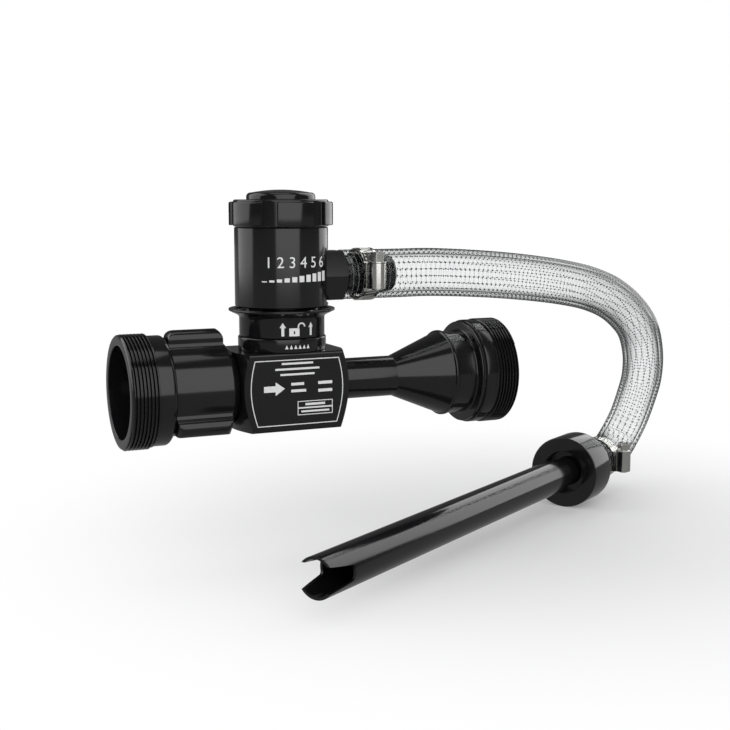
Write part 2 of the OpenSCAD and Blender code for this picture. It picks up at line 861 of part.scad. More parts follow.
module metering_knob() {
    r = knob_d / 2;
    lobe_r = lobe_d / 2;
    lobe_low = knob_low + 0.8;
    lobe_top = knob_top - 1.4;
    edge = 1.2;
    socket_r = stem_r + joint_gap;
    color(anodised)
        difference() {
            union() {
                turned_on_head(concat(
                    [[0, knob_low], [r - 0.6, knob_low], [r, knob_low + 0.6]],
                    arc([r - 2, knob_top - 2], 2, 0, 90),
                    [[0, knob_top]]));
                for (i = [0:lobes_n - 1])
                    on_head(0)
                        rotate([0, 0, lobe_turn + 360 * i / lobes_n])
                            rotate_extrude(angle = lobe_angle)
                                polygon(concat(
                                    [[r - 3, lobe_low], [lobe_r - 0.6, lobe_low], [lobe_r, lobe_low + 0.6]],
                                    arc([lobe_r - edge, lobe_top - edge], edge, 0, 90, 4),
                                    [[r - 3, lobe_top]]));
            }
            intersection() {
                on_head(knob_low - 1)
                    cylinder(r = socket_r, h = stem_top - knob_low + 1.1);
                on_head(stem_top)
                    cube([2 * stem_r + 2, stem_flats + 2 * joint_gap, 4 * knob_h], center = true);
            }
            on_head(stem_top)
                cylinder(r = screw_r + 0.2, h = knob_h, $fn = 32);
            on_head(stem_top + knob_floor_t)
                cylinder(r = cap_socket_r, h = knob_h);
            on_head(detent_z)
                torus(detent_r, detent_ball_d / 2 + 0.4);
            for (i = [0:lobes_n - 1])
                on_head(detent_z + 0.5)
                    rotate([0, 0, 360 * i / lobes_n])
                        translate([0, detent_r, 0])
                            sphere(d = detent_ball_d + 0.8, $fn = 32);
        }
}

module knob_screw() {
    seat = stem_top + knob_floor_t;
    color(steel)
        on_head(seat)
            difference() {
                union() {
                    cylinder(r = screw_head_r, h = screw_head_h);
                    translate([0, 0, 1 - screw_l])
                        cylinder(r = screw_r, h = screw_l);
                }
                translate([0, 0, screw_head_h - 2.5])
                    cylinder(d = 4.6, h = 3, $fn = 6);
            }
}

module knob_cap() {
    r = cap_d / 2;
    shoulder = 3.2;
    skirt = 2.2;
    dome = 1.9;
    dome_steps = 8;
    flat_r = r - shoulder;
    hollow_r = cap_socket_r - 3;
    hollow_top = knob_top + 1.2;
    color(anodised)
        turned_on_head(concat(
            [
                [hollow_r, knob_top - skirt], [cap_socket_r - joint_gap, knob_top - skirt],
                [cap_socket_r - joint_gap, knob_top], [r, knob_top]
            ],
            arc([flat_r, cap_top - dome - shoulder], shoulder, 0, 78),
            [for (i = [dome_steps:-1:0]) [flat_r * i / dome_steps, cap_top - dome * pow(i / dome_steps, 2)]],
            [[0, hollow_top], [hollow_r, hollow_top]]));
}

// Suction line

// Barbs that slope towards the end and hold against a pull
function barb_profile(from, length) = concat(
    [[barb_root_r, from]],
    [for (i = [0:floor((length - 3) / barb_pitch) - 1]) each [
        [barb_root_r, from + 2 + i * barb_pitch], [barb_crest_r, from + 2 + i * barb_pitch],
        [barb_root_r, from + 1.8 + (i + 1) * barb_pitch]]],
    [[barb_root_r, from + length - 1], [barb_root_r - 1, from + length]]);

module hose_fitting() {
    corner_r = fitting_flats / sqrt(3);
    edge = 1.6;
    thread_start = drum_r + 1.5;
    color(black_brass)
        on_port()
            difference() {
                union() {
                    rotate_extrude()
                        polygon(concat(
                            [
                                [port_bore_r, thread_start], [port_r, thread_start],
                                [port_r, seat_end + 1], [barb_root_r, seat_end + 1]
                            ],
                            barb_profile(fitting_end, head_barb_l),
                            [[port_bore_r, fitting_end + head_barb_l]]));
                    intersection() {
                        translate([0, 0, seat_end])
                            rotate([0, 0, 30])
                                linear_extrude(fitting_hex_l)
                                    circle(corner_r, $fn = 6);
                        rotate_extrude()
                            polygon([
                                [port_bore_r, seat_end], [corner_r, seat_end],
                                [corner_r, fitting_end - edge],
                                [corner_r - 2 * edge, fitting_end], [port_bore_r, fitting_end]
                            ]);
                    }
                }
                cylinder(r = port_bore_r, h = fitting_end + head_barb_l + 1);
            }
}

module suction_hose() {
    path = smooth(hose_route, route_steps);
    heads = headings(path);
    sideways = normals(heads, [0, 0, 1]);
    count = len(path);
    last = (count - 1) * hose_sides;
    inner = count * hose_sides;
    inner_r = hose_bore_d / 2 / cos(180 / hose_sides);
    ends = [for (k = [0:hose_sides - 1])
        let (next = (k + 1) % hose_sides)
        each [[k, next, inner + next, inner + k],
            [last + next, last + k, inner + last + k, inner + last + next]]];
    color(clear_hose, 0.4)
        translate(hose_start)
            polyhedron(
                concat(
                    rings(path, sideways, heads, hose_d / 2, hose_sides),
                    rings(path, sideways, heads, inner_r, hose_sides)),
                concat(
                    tube_skin(count, hose_sides, 0, true),
                    tube_skin(count, hose_sides, inner, false),
                    ends),
                convexity = 8);
}

// A worm-drive clamp: its band lies about X, its screw stands up on the -Y side

module head_clamp_place() {
    translate(hose_start + [head_band_x, 0, 0])
        children();
}

module wand_clamp_place() {
    on_wand()
        translate([wand_band_x, 0, 0])
            children();
}

module clamp_band() {
    rotate([0, 90, 0])
        difference() {
            cylinder(r = band_r + band_t, h = band_w, center = true);
            cylinder(r = band_r, h = band_w + 2, center = true);
        }
}

module clamp_housing() {
    foot_y = band_r + band_t + 2.4;
    difference() {
        union() {
            translate([-housing_w / 2, -foot_y, -housing_h / 2])
                cube([housing_w, 5, housing_h]);
            translate([0, -housing_screw_y, 0])
                cylinder(r = housing_barrel_r, h = housing_h, center = true);
            translate([-housing_barrel_r, -housing_screw_y, -housing_h / 2])
                cube([2 * housing_barrel_r, 3, housing_h]);
        }
        rotate([0, 90, 0])
            cylinder(r = band_r + band_t + joint_gap, h = housing_w + 2, center = true);
        translate([0, -housing_screw_y, 0])
            cylinder(r = housing_screw_r + joint_gap, h = housing_h + 2, center = true);
    }
}

module clamp_screw() {
    collar_h = 1;
    low = housing_h / 2 + 0.1;
    translate([0, -housing_screw_y, 0])
        difference() {
            union() {
                translate([0, 0, -housing_h / 2 - 1])
                    cylinder(r = housing_screw_r, h = housing_h + 1.5);
                translate([0, 0, low])
                    cylinder(r = housing_barrel_r + 0.4, h = collar_h);
                translate([0, 0, low])
                    cylinder(d = clamp_head_flats * 2 / sqrt(3), h = clamp_head_h, $fn = 6);
            }
            translate([0, 0, low + clamp_head_h])
                cube([2 * clamp_head_flats, 1.4, 3.2], center = true);
        }
}

module head_clamp_band() {
    color(steel)
        head_clamp_place()
            clamp_band();
}

module head_clamp_housing() {
    color(steel)
        head_clamp_place()
            clamp_housing();
}

module head_clamp_screw() {
    color(steel)
        head_clamp_place()
            clamp_screw();
}

module wand_clamp_band() {
    color(steel)
        wand_clamp_place()
            clamp_band();
}

module wand_clamp_housing() {
    color(steel)
        wand_clamp_place()
            clamp_housing();
}

module wand_clamp_screw() {
    color(steel)
        wand_clamp_place()
            clamp_screw();
}

module wand_fitting() {
    flange_r = flange_d / 2;
    round_r = 4;
    front_edge = 0.8;
    socket_r = tube_bore_r - joint_gap;
    throat = min(port_bore_r, socket_r - 2);
    color(anodised)
        on_wand()
            rotate([0, 90, 0])
                rotate_extrude()
                    polygon(concat(
                        [
                            [throat, -tube_start - socket_l], [socket_r, -tube_start - socket_l],
                            [socket_r, recess_depth - flange_front],
                            [recess_r, recess_depth - flange_front], [recess_r, -flange_front],
                            [flange_r - front_edge, -flange_front], [flange_r, front_edge - flange_front]
                        ],
                        arc([flange_r - round_r, -flange_back - round_r], round_r, 0, 90),
                        [[wand_shank_r, -wand_shank_l], [wand_shank_r, -1], [wand_shank_r - 1, 0]],
                        barb_profile(0, wand_barb_l),
                        [[throat, wand_barb_l]]));
}

module wand_tube() {
    root_r = 3;
    root_x = tip_slot_l - root_r;
    corner_z = tip_root_w / 2 - root_r;
    lean = atan((tip_slot_w - tip_root_w) / 2 / root_x);
    color(anodised)
        on_wand()
            difference() {
                translate([-wand_tip, 0, 0])
                    rotate([0, 90, 0])
                        difference() {
                            cylinder(d = wand_d, h = wand_l);
                            translate([0, 0, -1])
                                cylinder(r = tube_bore_r, h = wand_l + 2);
                        }
                translate([-wand_tip, wand_d, 0])
                    rotate([90, 0, 0])
                        linear_extrude(2 * wand_d)
                            polygon(concat(
                                [[-1, -tip_slot_w / 2]],
                                arc([root_x, -corner_z], root_r, lean - 90, 0, 6),
                                arc([root_x, corner_z], root_r, 0, 90 - lean, 6),
                                [[-1, tip_slot_w / 2]]));
            }
}

body_block();
quick_plug();
plug_oring();
check_ball();
ball_pin();
jet_nozzle();
nozzle_oring();
diffuser();
diffuser_oring();
outlet_gasket();
outlet_adapter();
swivel_oring();
race_balls();
race_plug();
swivel_coupling();
inlet_gasket();
inlet_adapter();
head_body();
lock_balls();
sleeve_ring();
sleeve_spring();
release_sleeve();
detent_spring();
detent_ball();
metering_drum();
stem_oring();
metering_knob();
knob_screw();
knob_cap();
hose_fitting();
suction_hose();
head_clamp_band();
head_clamp_housing();
head_clamp_screw();
wand_fitting();
wand_tube();
wand_clamp_band();
wand_clamp_housing();
wand_clamp_screw();
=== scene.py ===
import json
import math

import bmesh
import bpy
import numpy as np
from mathutils import Euler, Matrix, Vector


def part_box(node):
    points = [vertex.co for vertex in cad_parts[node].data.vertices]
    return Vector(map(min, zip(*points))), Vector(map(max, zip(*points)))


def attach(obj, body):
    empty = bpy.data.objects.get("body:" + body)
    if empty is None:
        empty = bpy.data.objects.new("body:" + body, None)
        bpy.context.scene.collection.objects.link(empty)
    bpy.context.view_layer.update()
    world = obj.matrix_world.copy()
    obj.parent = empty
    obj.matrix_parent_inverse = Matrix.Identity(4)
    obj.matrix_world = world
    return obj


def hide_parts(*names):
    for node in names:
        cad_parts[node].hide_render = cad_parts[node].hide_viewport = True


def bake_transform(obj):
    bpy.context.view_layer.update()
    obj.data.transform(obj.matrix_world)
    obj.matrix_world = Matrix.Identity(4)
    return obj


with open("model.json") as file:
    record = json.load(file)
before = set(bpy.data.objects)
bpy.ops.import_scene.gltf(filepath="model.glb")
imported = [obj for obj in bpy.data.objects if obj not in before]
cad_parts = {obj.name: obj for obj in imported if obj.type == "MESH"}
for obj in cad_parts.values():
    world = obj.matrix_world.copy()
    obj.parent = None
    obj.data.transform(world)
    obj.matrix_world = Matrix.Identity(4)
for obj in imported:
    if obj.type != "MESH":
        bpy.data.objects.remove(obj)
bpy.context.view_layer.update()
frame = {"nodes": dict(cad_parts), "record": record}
nodes = frame["nodes"]
scene = bpy.context.scene
scene.view_settings.view_transform = "Standard"
MM = 0.001


# Viewpoint
# The eductor is seen from the front left, a little above its flow line, through a normal lens.
# The place and the angles were fitted to the threads, the head and the wand.
VIEW_PLACE = (-455.8, -778.5, 124.3)
VIEW_YAW = 24.35
VIEW_PITCH = -7.72
VIEW_LENS = 60.9

camera_data = bpy.data.cameras.new("camera")
camera_data.sensor_width = 36.0
camera_data.lens = VIEW_LENS
camera_data.clip_start = 0.01
camera = bpy.data.objects.new("camera", camera_data)
camera.location = Vector(VIEW_PLACE) * MM
camera.rotation_euler = Euler((math.radians(90 + VIEW_PITCH), 0, math.radians(-VIEW_YAW)))
scene.collection.objects.link(camera)
scene.camera = camera


# Block
# A square aluminium bar, milled flat on its sides, turned to a crown at both ends and hard anodised black.
# It carries the nozzle inside, the diffuser and the swivel on its ends, and the metering head on top.
EASED_EDGE = 0.5
EDGE_STEPS = 3
WELD = 1e-7
SOLID_WELD = 2e-6
FLAT_ANGLE = 0.5


def srgb(code):
    """Turns an sRGB hex colour into the linear values that shaders take."""
    parts = [int(code[i:i + 2], 16) / 255 for i in (1, 3, 5)]
    linear = [p / 12.92 if p <= 0.04045 else ((p + 0.055) / 1.055) ** 2.4 for p in parts]
    return (*linear, 1.0)


def add_node(tree, kind, inputs=None, **settings):
    """Adds one shader node: settings are its properties.
    Inputs are socket values, or the sockets that feed them."""
    made = tree.nodes.new(kind)
    for name, value in settings.items():
        setattr(made, name, value)
    for socket, value in (inputs or {}).items():
        if isinstance(value, bpy.types.NodeSocket):
            tree.links.new(value, made.inputs[socket])
        else:
            made.inputs[socket].default_value = value
    return made


def new_material(name):
    """An empty material: its nodes are added where the finish is described."""
    made = bpy.data.materials.new(name)
    made.use_nodes = True
    made.node_tree.nodes.clear()
    return made


def noise(tree, size, detail=2.0):
    """A noise of about that size in millimetres, fixed to the piece."""
    spot = add_node(tree, "ShaderNodeTexCoord").outputs["Object"]
    made = add_node(tree, "ShaderNodeTexNoise", {"Vector": spot, "Scale": 1 / (size * MM), "Detail": detail})
    return made.outputs["Fac"]


def between(tree, share, dark, light):
    """A colour that goes from dark to light with the share."""
    made = add_node(tree, "ShaderNodeMix", {0: share, 6: srgb(dark), 7: srgb(light)}, data_type="RGBA")
    return made.outputs[2]


def finished(tree, inputs):
    """Ends a material with one principled shader, fed by these inputs."""
    shader = add_node(tree, "ShaderNodeBsdfPrincipled", inputs)
    add_node(tree, "ShaderNodeOutputMaterial", {"Surface": shader.outputs[0]})


# Hard anodised aluminium, dyed black and sealed: a thin glassy oxide over a fine blasted grain,
# so softboxes show as clear grey panels with slightly soft edges.
gloss_black = new_material("gloss_black_anodised_aluminium")
tree = gloss_black.node_tree
dye = between(tree, noise(tree, 22, 3.0), "#0d0d0e", "#141416")
grain = noise(tree, 0.7)
polish = add_node(tree, "ShaderNodeMapRange", {0: grain, 3: 0.09, 4: 0.17})
peel = add_node(tree, "ShaderNodeBump", {"Height": grain, "Strength": 0.05, "Distance": 0.02 * MM})
finished(tree, {"Base Color": dye, "Roughness": polish.outputs[0], "Normal": peel.outputs[0], "IOR": 1.5})


def dressed(name, mesh, material, crease=35):
    """Closes seams and poles, turns faces outwards and shades the mesh smooth up to the crease angle."""
    shape = bmesh.new()
    shape.from_mesh(mesh)
    bmesh.ops.remove_doubles(shape, verts=shape.verts, dist=WELD)
    bmesh.ops.recalc_face_normals(shape, faces=shape.faces)
    shape.to_mesh(mesh)
    shape.free()
    mesh.polygons.foreach_set("use_smooth", np.ones(len(mesh.polygons), bool))
    mesh.set_sharp_from_angle(angle=math.radians(crease))
    mesh.materials.clear()
    mesh.materials.append(material)
    piece = bpy.data.objects.new(name, mesh)
    scene.collection.objects.link(piece)
    return piece


def eased(node, name, material, edge=EASED_EDGE, crease=28):
    """A copy of a solid with its flat faces joined and a small round on each edge sharper than the crease."""
    mesh = nodes[node].data.copy()
    normals = mesh.attributes.get("custom_normal")
    if normals:
        mesh.attributes.remove(normals)
    shape = bmesh.new()
    shape.from_mesh(mesh)
    bmesh.ops.remove_doubles(shape, verts=shape.verts, dist=SOLID_WELD)
    bmesh.ops.dissolve_limit(
        shape, angle_limit=math.radians(FLAT_ANGLE), verts=shape.verts, edges=shape.edges)
    shape.to_mesh(mesh)
    shape.free()
    piece = dressed(name, mesh, material, crease)
    bevel = piece.modifiers.new("eased edges", "BEVEL")
    bevel.width = edge * MM
    bevel.segments = EDGE_STEPS
    bevel.limit_method = "ANGLE"
    bevel.angle_limit = math.radians(crease)
    bevel.harden_normals = True
    return piece


def fitted(piece, body, slot, *replaced):
    """Fixes a piece to the body it moves with and hides the solids that it stands for; the slot is not used.
    """
    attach(piece, body)
    if replaced:
        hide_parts(*replaced)
    return piece


milled_block = eased("body_block", "milled_block", gloss_black)
fitted(milled_block, "body", "hard_anodised_aluminium", "body_block")


# Swivel coupling
# A turned sleeve with three cast-on grip lugs, which runs on the block's neck on a ring of steel balls.
# The lugs have round crests and hollow flanks, and are nosed at both ends.
FLOW = ((0, 0, 0), (1, 0, 0))
COUPLING_R = 30.5
COUPLING_FROM = -247.3
COUPLING_TO = -203.5
COUPLING_BORE_R = 21.6
NIPPLE_BORE_R = 23.95
NIPPLE_STEP = -229.0
NOSE = 5.5
LUG_FROM = -246.7
LUG_TO = -210.0
LUG_CREST_R = 40.0
LUG_ROUND_R = 6.0
LUG_FILLET_R = 4.0
LUG_NOSE_R = 5.5
LUG_TURN = 9
NO_LENGTH = 1e-9
SAME_POINT = 1e-6


def rounded(corners, steps=6):
    """A closed outline of (radius, station) points from corners (radius, station, fillet), in millimetres.
    Each fillet is an arc tangent to both sides: centre + start * sin((1-t)w)/sin w + end * sin(tw)/sin w."""
    corners = np.array(corners, float)
    place, fillet = corners[:, :2], corners[:, 2:]
    back = np.roll(place, 1, 0) - place
    ahead = np.roll(place, -1, 0) - place
    back /= np.linalg.norm(back, axis=1, keepdims=True)
    ahead /= np.linalg.norm(ahead, axis=1, keepdims=True)
    half = np.arccos(np.clip((back * ahead).sum(1, keepdims=True), -1, 1)) / 2
    inward = (back + ahead) / np.maximum(np.linalg.norm(back + ahead, axis=1, keepdims=True), NO_LENGTH)
    centre = place + inward * fillet / np.sin(half)
    start = place + back * fillet / np.tan(half) - centre
    end = place + ahead * fillet / np.tan(half) - centre
    sweep = np.maximum(np.pi - 2 * half, SAME_POINT)[:, None]
    t = np.linspace(0, 1, steps + 1)[None, :, None]
    swing = start[:, None] * np.sin((1 - t) * sweep) + end[:, None] * np.sin(t * sweep)
    line = (centre[:, None] + swing / np.sin(sweep)).reshape(-1, 2)
    return line[np.linalg.norm(line - np.roll(line, 1, 0), axis=1) > SAME_POINT]


def turned(outline, axis, angles=144, shape_round=None):
    """An outline carried round an axis: origin + station * along + radius * (side cos a + up sin a).
    shape_round(radius, angle) may change the radius with the angle. The result is a grid in metres."""
    origin, along = (np.array(v, float) for v in axis)
    along = along / np.linalg.norm(along)
    up = np.array((0, 1, 0)) if abs(along[2]) > 0.9 else np.array((0, 0, 1))
    side = np.cross(up, along)
    angle = np.linspace(0, 2 * np.pi, angles, endpoint=False) if np.isscalar(angles) else angles
    ring = np.cos(angle)[:, None] * side + np.sin(angle)[:, None] * up
    radius = np.repeat(outline[:, :1], len(angle), 1)
    if shape_round:
        radius = shape_round(radius, angle)
    points = origin + outline[:, None, 1:] * along + radius[:, :, None] * ring
    return points * MM, True, True


def surface(name, grids, material, crease=35):
    """One mesh of quads from grids of points [u, v, xyz].
    Each grid says whether u and v close on themselves."""
    points, faces, first = [], [], 0
    for grid, round_u, round_v in grids:
        index = first + np.arange(grid.shape[0] * grid.shape[1]).reshape(grid.shape[:2])
        if round_u:
            index = np.vstack([index, index[:1]])
        if round_v:
            index = np.hstack([index, index[:, :1]])
        corners = [index[:-1, :-1], index[1:, :-1], index[1:, 1:], index[:-1, 1:]]
        faces.append(np.stack(corners, -1).reshape(-1, 4))
        points.append(grid.reshape(-1, 3))
        first += grid.shape[0] * grid.shape[1]
    mesh = bpy.data.meshes.new(name)
    mesh.from_pydata(np.vstack(points), [], np.vstack(faces))
    return dressed(name, mesh, material, crease)


def lug_section(steps=14):
    """Angles and radii round the coupling: wall arc, hollow fillet, round crest and back, three times over.
    The fillet's centre is where circles about the axis and the crest, each grown by the fillet, meet."""
    crest_y = LUG_CREST_R - LUG_ROUND_R
    foot, reach = COUPLING_R + LUG_FILLET_R, LUG_ROUND_R + LUG_FILLET_R
    fillet_y = (foot ** 2 - reach ** 2 + crest_y ** 2) / (2 * crest_y)
    fillet_x = math.sqrt(foot ** 2 - fillet_y ** 2)
    lean = math.atan2(fillet_y - crest_y, fillet_x)
    foot_turn = math.atan2(fillet_x, fillet_y)
    crest = np.linspace(np.pi / 2, lean, steps)
    hollow = np.linspace(np.pi + lean, 1.5 * np.pi - foot_turn, steps)[1:]
    wall = np.linspace(foot_turn, np.pi / 3, steps)[1:]
    x = np.concatenate([LUG_ROUND_R * np.cos(crest), fillet_x + LUG_FILLET_R * np.cos(hollow),
                        COUPLING_R * np.sin(wall)])
    y = np.concatenate([crest_y + LUG_ROUND_R * np.sin(crest), fillet_y + LUG_FILLET_R * np.sin(hollow),
                        COUPLING_R * np.cos(wall)])
    turn, radius = np.arctan2(x, y), np.hypot(x, y)
    third = np.concatenate([-turn[:0:-1], turn[:-1]])
    radii = np.concatenate([radius[:0:-1], radius[:-1]])
    turns = np.concatenate([third + 2 * np.pi * k / 3 for k in range(3)])
    return turns + np.radians(90 + LUG_TURN), np.tile(radii, 3)


lug_turns, lug_radii = lug_section()
coupling_outline = rounded([
    (COUPLING_R, COUPLING_FROM, 0.4), (COUPLING_R, LUG_FROM, 0), (LUG_CREST_R, LUG_FROM, LUG_NOSE_R),
    (LUG_CREST_R, LUG_TO, LUG_NOSE_R), (COUPLING_R, LUG_TO, 0), (COUPLING_R, COUPLING_TO - NOSE, 0.5),
    (COUPLING_R - NOSE, COUPLING_TO, 0.5), (COUPLING_BORE_R, COUPLING_TO, 0.3),
    (COUPLING_BORE_R, NIPPLE_STEP, 0), (NIPPLE_BORE_R, NIPPLE_STEP, 0), (NIPPLE_BORE_R, COUPLING_FROM, 0.3)])
lugged_coupling = surface("lugged_coupling", [turned(
    coupling_outline, FLOW, lug_turns, lambda radius, angle: np.minimum(radius, lug_radii))], gloss_black)
fitted(lugged_coupling, "inlet", "hard_anodised_aluminium", "swivel_coupling")


# Threaded inlet
# A turned reducer with a 2-1/2 inch parallel pipe thread; its nipple screws into the coupling on a gasket.
# The thread is cut with a 2.309 mm pitch, chamfered at the open face, and dies out at the collar.
THREAD_R = frame["record"]["mounts"][0]["dims"]["r_mm"]
THREAD_PITCH = 2.309
THREAD_ROOT_R = THREAD_R - 1.48
THREAD_STEPS = 96
LEAD_TURNS = 0.4
FADE_TURNS = 0.33
RIDGE_ACROSS = (-0.42, -0.16, -0.1, 0.1, 0.16, 0.42, 0.42, -0.42)
RIDGE_HEIGHT = (0, 0.93, 1, 1, 0.93, 0, -0.4, -0.4)
RIDGE_SINK = 0.05
FACE_GAP = 0.1
FACE_CREST = 0.3
INLET_RUN_OUT = 0.9
MOUTH_R = 30.4
INLET_FACE = -277.0
INLET_THREAD_END = -258.0
INLET_COLLAR_R = 36.0
NIPPLE_R = 23.9
NIPPLE_END = -227.5
WAIST_R = 19.0
WAIST_FROM = COUPLING_FROM - 2.0
MOUTH_FLOOR = INLET_THREAD_END - 2.0


def thread_ridge(face, shoulder):
    """A ridge along a right-hand helix from the open face: station = face + pitch * turn.
    A 45 degree chamfer at the face cuts it back, and it dies out over the last third of a turn."""
    along = np.sign(shoulder - face)
    turns = abs(shoulder - face) / THREAD_PITCH
    turn = np.linspace(-LEAD_TURNS, turns, int(turns * THREAD_STEPS))
    ramp = np.clip((turns - turn) / FADE_TURNS, 0, 1)
    ramp = ramp * ramp * (3 - 2 * ramp)
    across = np.array(RIDGE_ACROSS) * THREAD_PITCH
    height = np.array(RIDGE_HEIGHT) * (THREAD_R - THREAD_ROOT_R)
    radius = THREAD_ROOT_R + np.where(height > 0, height * ramp[:, None], height - RIDGE_SINK)
    depth = np.maximum(THREAD_PITCH * turn[:, None] + across, FACE_GAP)
    radius = np.minimum(radius, THREAD_ROOT_R + FACE_CREST + depth)
    angle = 2 * np.pi * along * turn[:, None]
    grid = np.stack([face + along * depth, radius * np.cos(angle), radius * np.sin(angle)], -1)
    middle = grid[[0, -1]].mean(1, keepdims=True).repeat(len(across), 1)
    return np.concatenate([middle[:1], grid, middle[1:]]) * MM, False, True


inlet_core = rounded([
    (MOUTH_R, INLET_FACE, 0.5), (INLET_COLLAR_R, INLET_FACE, 0.5), (INLET_COLLAR_R, COUPLING_FROM, 3),
    (NIPPLE_R, COUPLING_FROM, 0.2), (NIPPLE_R, NIPPLE_END, 0.4), (WAIST_R, NIPPLE_END, 0.4),
    (WAIST_R, WAIST_FROM, 1.5), (MOUTH_R, MOUTH_FLOOR, 1)])
threaded_inlet = surface("threaded_inlet", [
    turned(inlet_core, FLOW, 192),
    thread_ridge(INLET_FACE, INLET_THREAD_END - INLET_RUN_OUT)], gloss_black, 30)
fitted(threaded_inlet, "inlet", "hard_anodised_aluminium", "inlet_adapter")


# Diffuser
# One turned piece: a straight mixing tube, a cone with a bead at its wide end, a bell and a thin rim.
# It pushes into the block's bore over an O-ring, and the outlet screws into its bell.
BLOCK_END = -127.5
TUBE_R = 14.05
TUBE_END = -84.0
BELL_R = 29.5
BELL_FROM = -47.0
BEAD_R = 30.3
BEAD_AT = -45.5
BEAD_HALF = 1.1
BEAD_FOOT = 1.6
CONE_STEP = 0.5
RIM_R = 36.0
RIM_FROM = -29.4
RIM_TO = -27.4
SOCKET_R = 26.05
SOCKET_FLOOR = -44.0
SOCKET_LEDGE = 4.0
THROAT_END = -93.0
MIXING_R = 9.0
SPIGOT_R = 13.0
SPIGOT_FROM = -153.0

diffuser_outline = rounded([
    (MIXING_R, SPIGOT_FROM, 1.5), (SPIGOT_R, SPIGOT_FROM, 0.4), (SPIGOT_R, BLOCK_END, 0),
    (TUBE_R, BLOCK_END, 0.4), (TUBE_R, TUBE_END, 3), (BELL_R - CONE_STEP, BELL_FROM, 0.4),
    (BEAD_R, BEAD_AT - BEAD_HALF, 0.9), (BEAD_R, BEAD_AT + BEAD_HALF, 0.9),
    (BELL_R, BEAD_AT + BEAD_FOOT, 0.3), (BELL_R, RIM_FROM, 1.2),
    (RIM_R, RIM_FROM, 0.6), (RIM_R, RIM_TO, 0.6), (SOCKET_R, RIM_TO, 0.3),
    (SOCKET_R, SOCKET_FLOOR, 0), (SOCKET_R - SOCKET_LEDGE, SOCKET_FLOOR, 0), (MIXING_R, THROAT_END, 0)])
turned_diffuser = surface("turned_diffuser", [turned(diffuser_outline, FLOW, 160)], gloss_black)
fitted(turned_diffuser, "body", "hard_anodised_aluminium", "diffuser")


# Threaded outlet
# The same pipe thread as the inlet, on a turned nipple that screws into the diffuser's bell.
# A flat rubber ring lies between the bell's rim and the outlet's collar.
OUTLET_COLLAR_R = 37.0
OUTLET_COLLAR_FROM = -26.2
OUTLET_THREAD_FROM = -19.0
OUTLET_NIPPLE_R = 26.0
OUTLET_NIPPLE_FROM = -43.8
OUTLET_WAIST_R = 22.0
OUTLET_RUN_OUT = 2.0
OUTLET_ROOT_FROM = OUTLET_THREAD_FROM + 0.8
OUTLET_MOUTH_FLOOR = OUTLET_THREAD_FROM + 2.0
OUTLET_WAIST_TO = OUTLET_COLLAR_FROM + 1.0

outlet_core = rounded([
    (OUTLET_WAIST_R, OUTLET_NIPPLE_FROM, 0.3), (OUTLET_NIPPLE_R, OUTLET_NIPPLE_FROM, 0.4),
    (OUTLET_NIPPLE_R, OUTLET_COLLAR_FROM, 0.2), (OUTLET_COLLAR_R, OUTLET_COLLAR_FROM, 1.2),
    (OUTLET_COLLAR_R, OUTLET_THREAD_FROM, 0.3), (THREAD_ROOT_R, OUTLET_ROOT_FROM, 0.2),
    (THREAD_ROOT_R, 0, 0.6), (MOUTH_R, 0, 0.6), (MOUTH_R, OUTLET_MOUTH_FLOOR, 1),
    (OUTLET_WAIST_R, OUTLET_WAIST_TO, 1)])
threaded_outlet = surface("threaded_outlet", [
    turned(outlet_core, FLOW, 192),
    thread_ridge(0, OUTLET_THREAD_FROM + OUTLET_RUN_OUT)], gloss_black, 30)
fitted(threaded_outlet, "body", "hard_anodised_aluminium", "outlet_adapter")

# Moulded nitrile rubber: almost black and dull, with the fine pebble of a blasted mould.
seal_rubber = new_material("moulded_nitrile_rubber")
tree = seal_rubber.node_tree
pebble = noise(tree, 0.5, 3.0)
dull = add_node(tree, "ShaderNodeMapRange", {0: pebble, 3: 0.55, 4: 0.75})
dents = add_node(tree, "ShaderNodeBump", {"Height": pebble, "Strength": 0.3, "Distance": 0.03 * MM})
finished(tree, {"Base Color": srgb("#111112"), "Roughness": dull.outputs[0], "Normal": dents.outputs[0]})


def painted(material, *names):
    """Gives a finish to solids that are shown as they are."""
    for name in names:
        nodes[name].data.materials.clear()
        nodes[name].data.materials.append(material)


painted(seal_rubber, "outlet_gasket", "plug_oring", "nozzle_oring", "diffuser_oring", "swivel_oring",
        "inlet_gasket", "stem_oring")


# Quick coupling plug
# A turned ring that stands on the block; its upper end enters the head, with a lock groove and an O-ring.
# Only the ring shows while the head is on.
HEAD = ((-165.0, 0, 0), (0, 0, 1))
RING_R = 29.6
RING_FROM = 23.5
RING_TO = 32.5
PLUG_R = 18.0
PLUG_TOP = 60.0
PLUG_BORE_R = 6.5
PLUG_FOOT_R = 14.0
PLUG_FOOT_FROM = 14.05
VALVE_R = 11.0
VALVE_TOP = 41.7
VALVE_SEAT = 46.2
LOCK_Z = 40.5
LOCK_HALF = 0.6
LOCK_MOUTH = 1.8
GROOVE_R = PLUG_R - 0.7
SEAL_R = PLUG_R - 2.6
SEAL_FROM = PLUG_TOP - 7.0
SEAL_TO = PLUG_TOP - 3.8

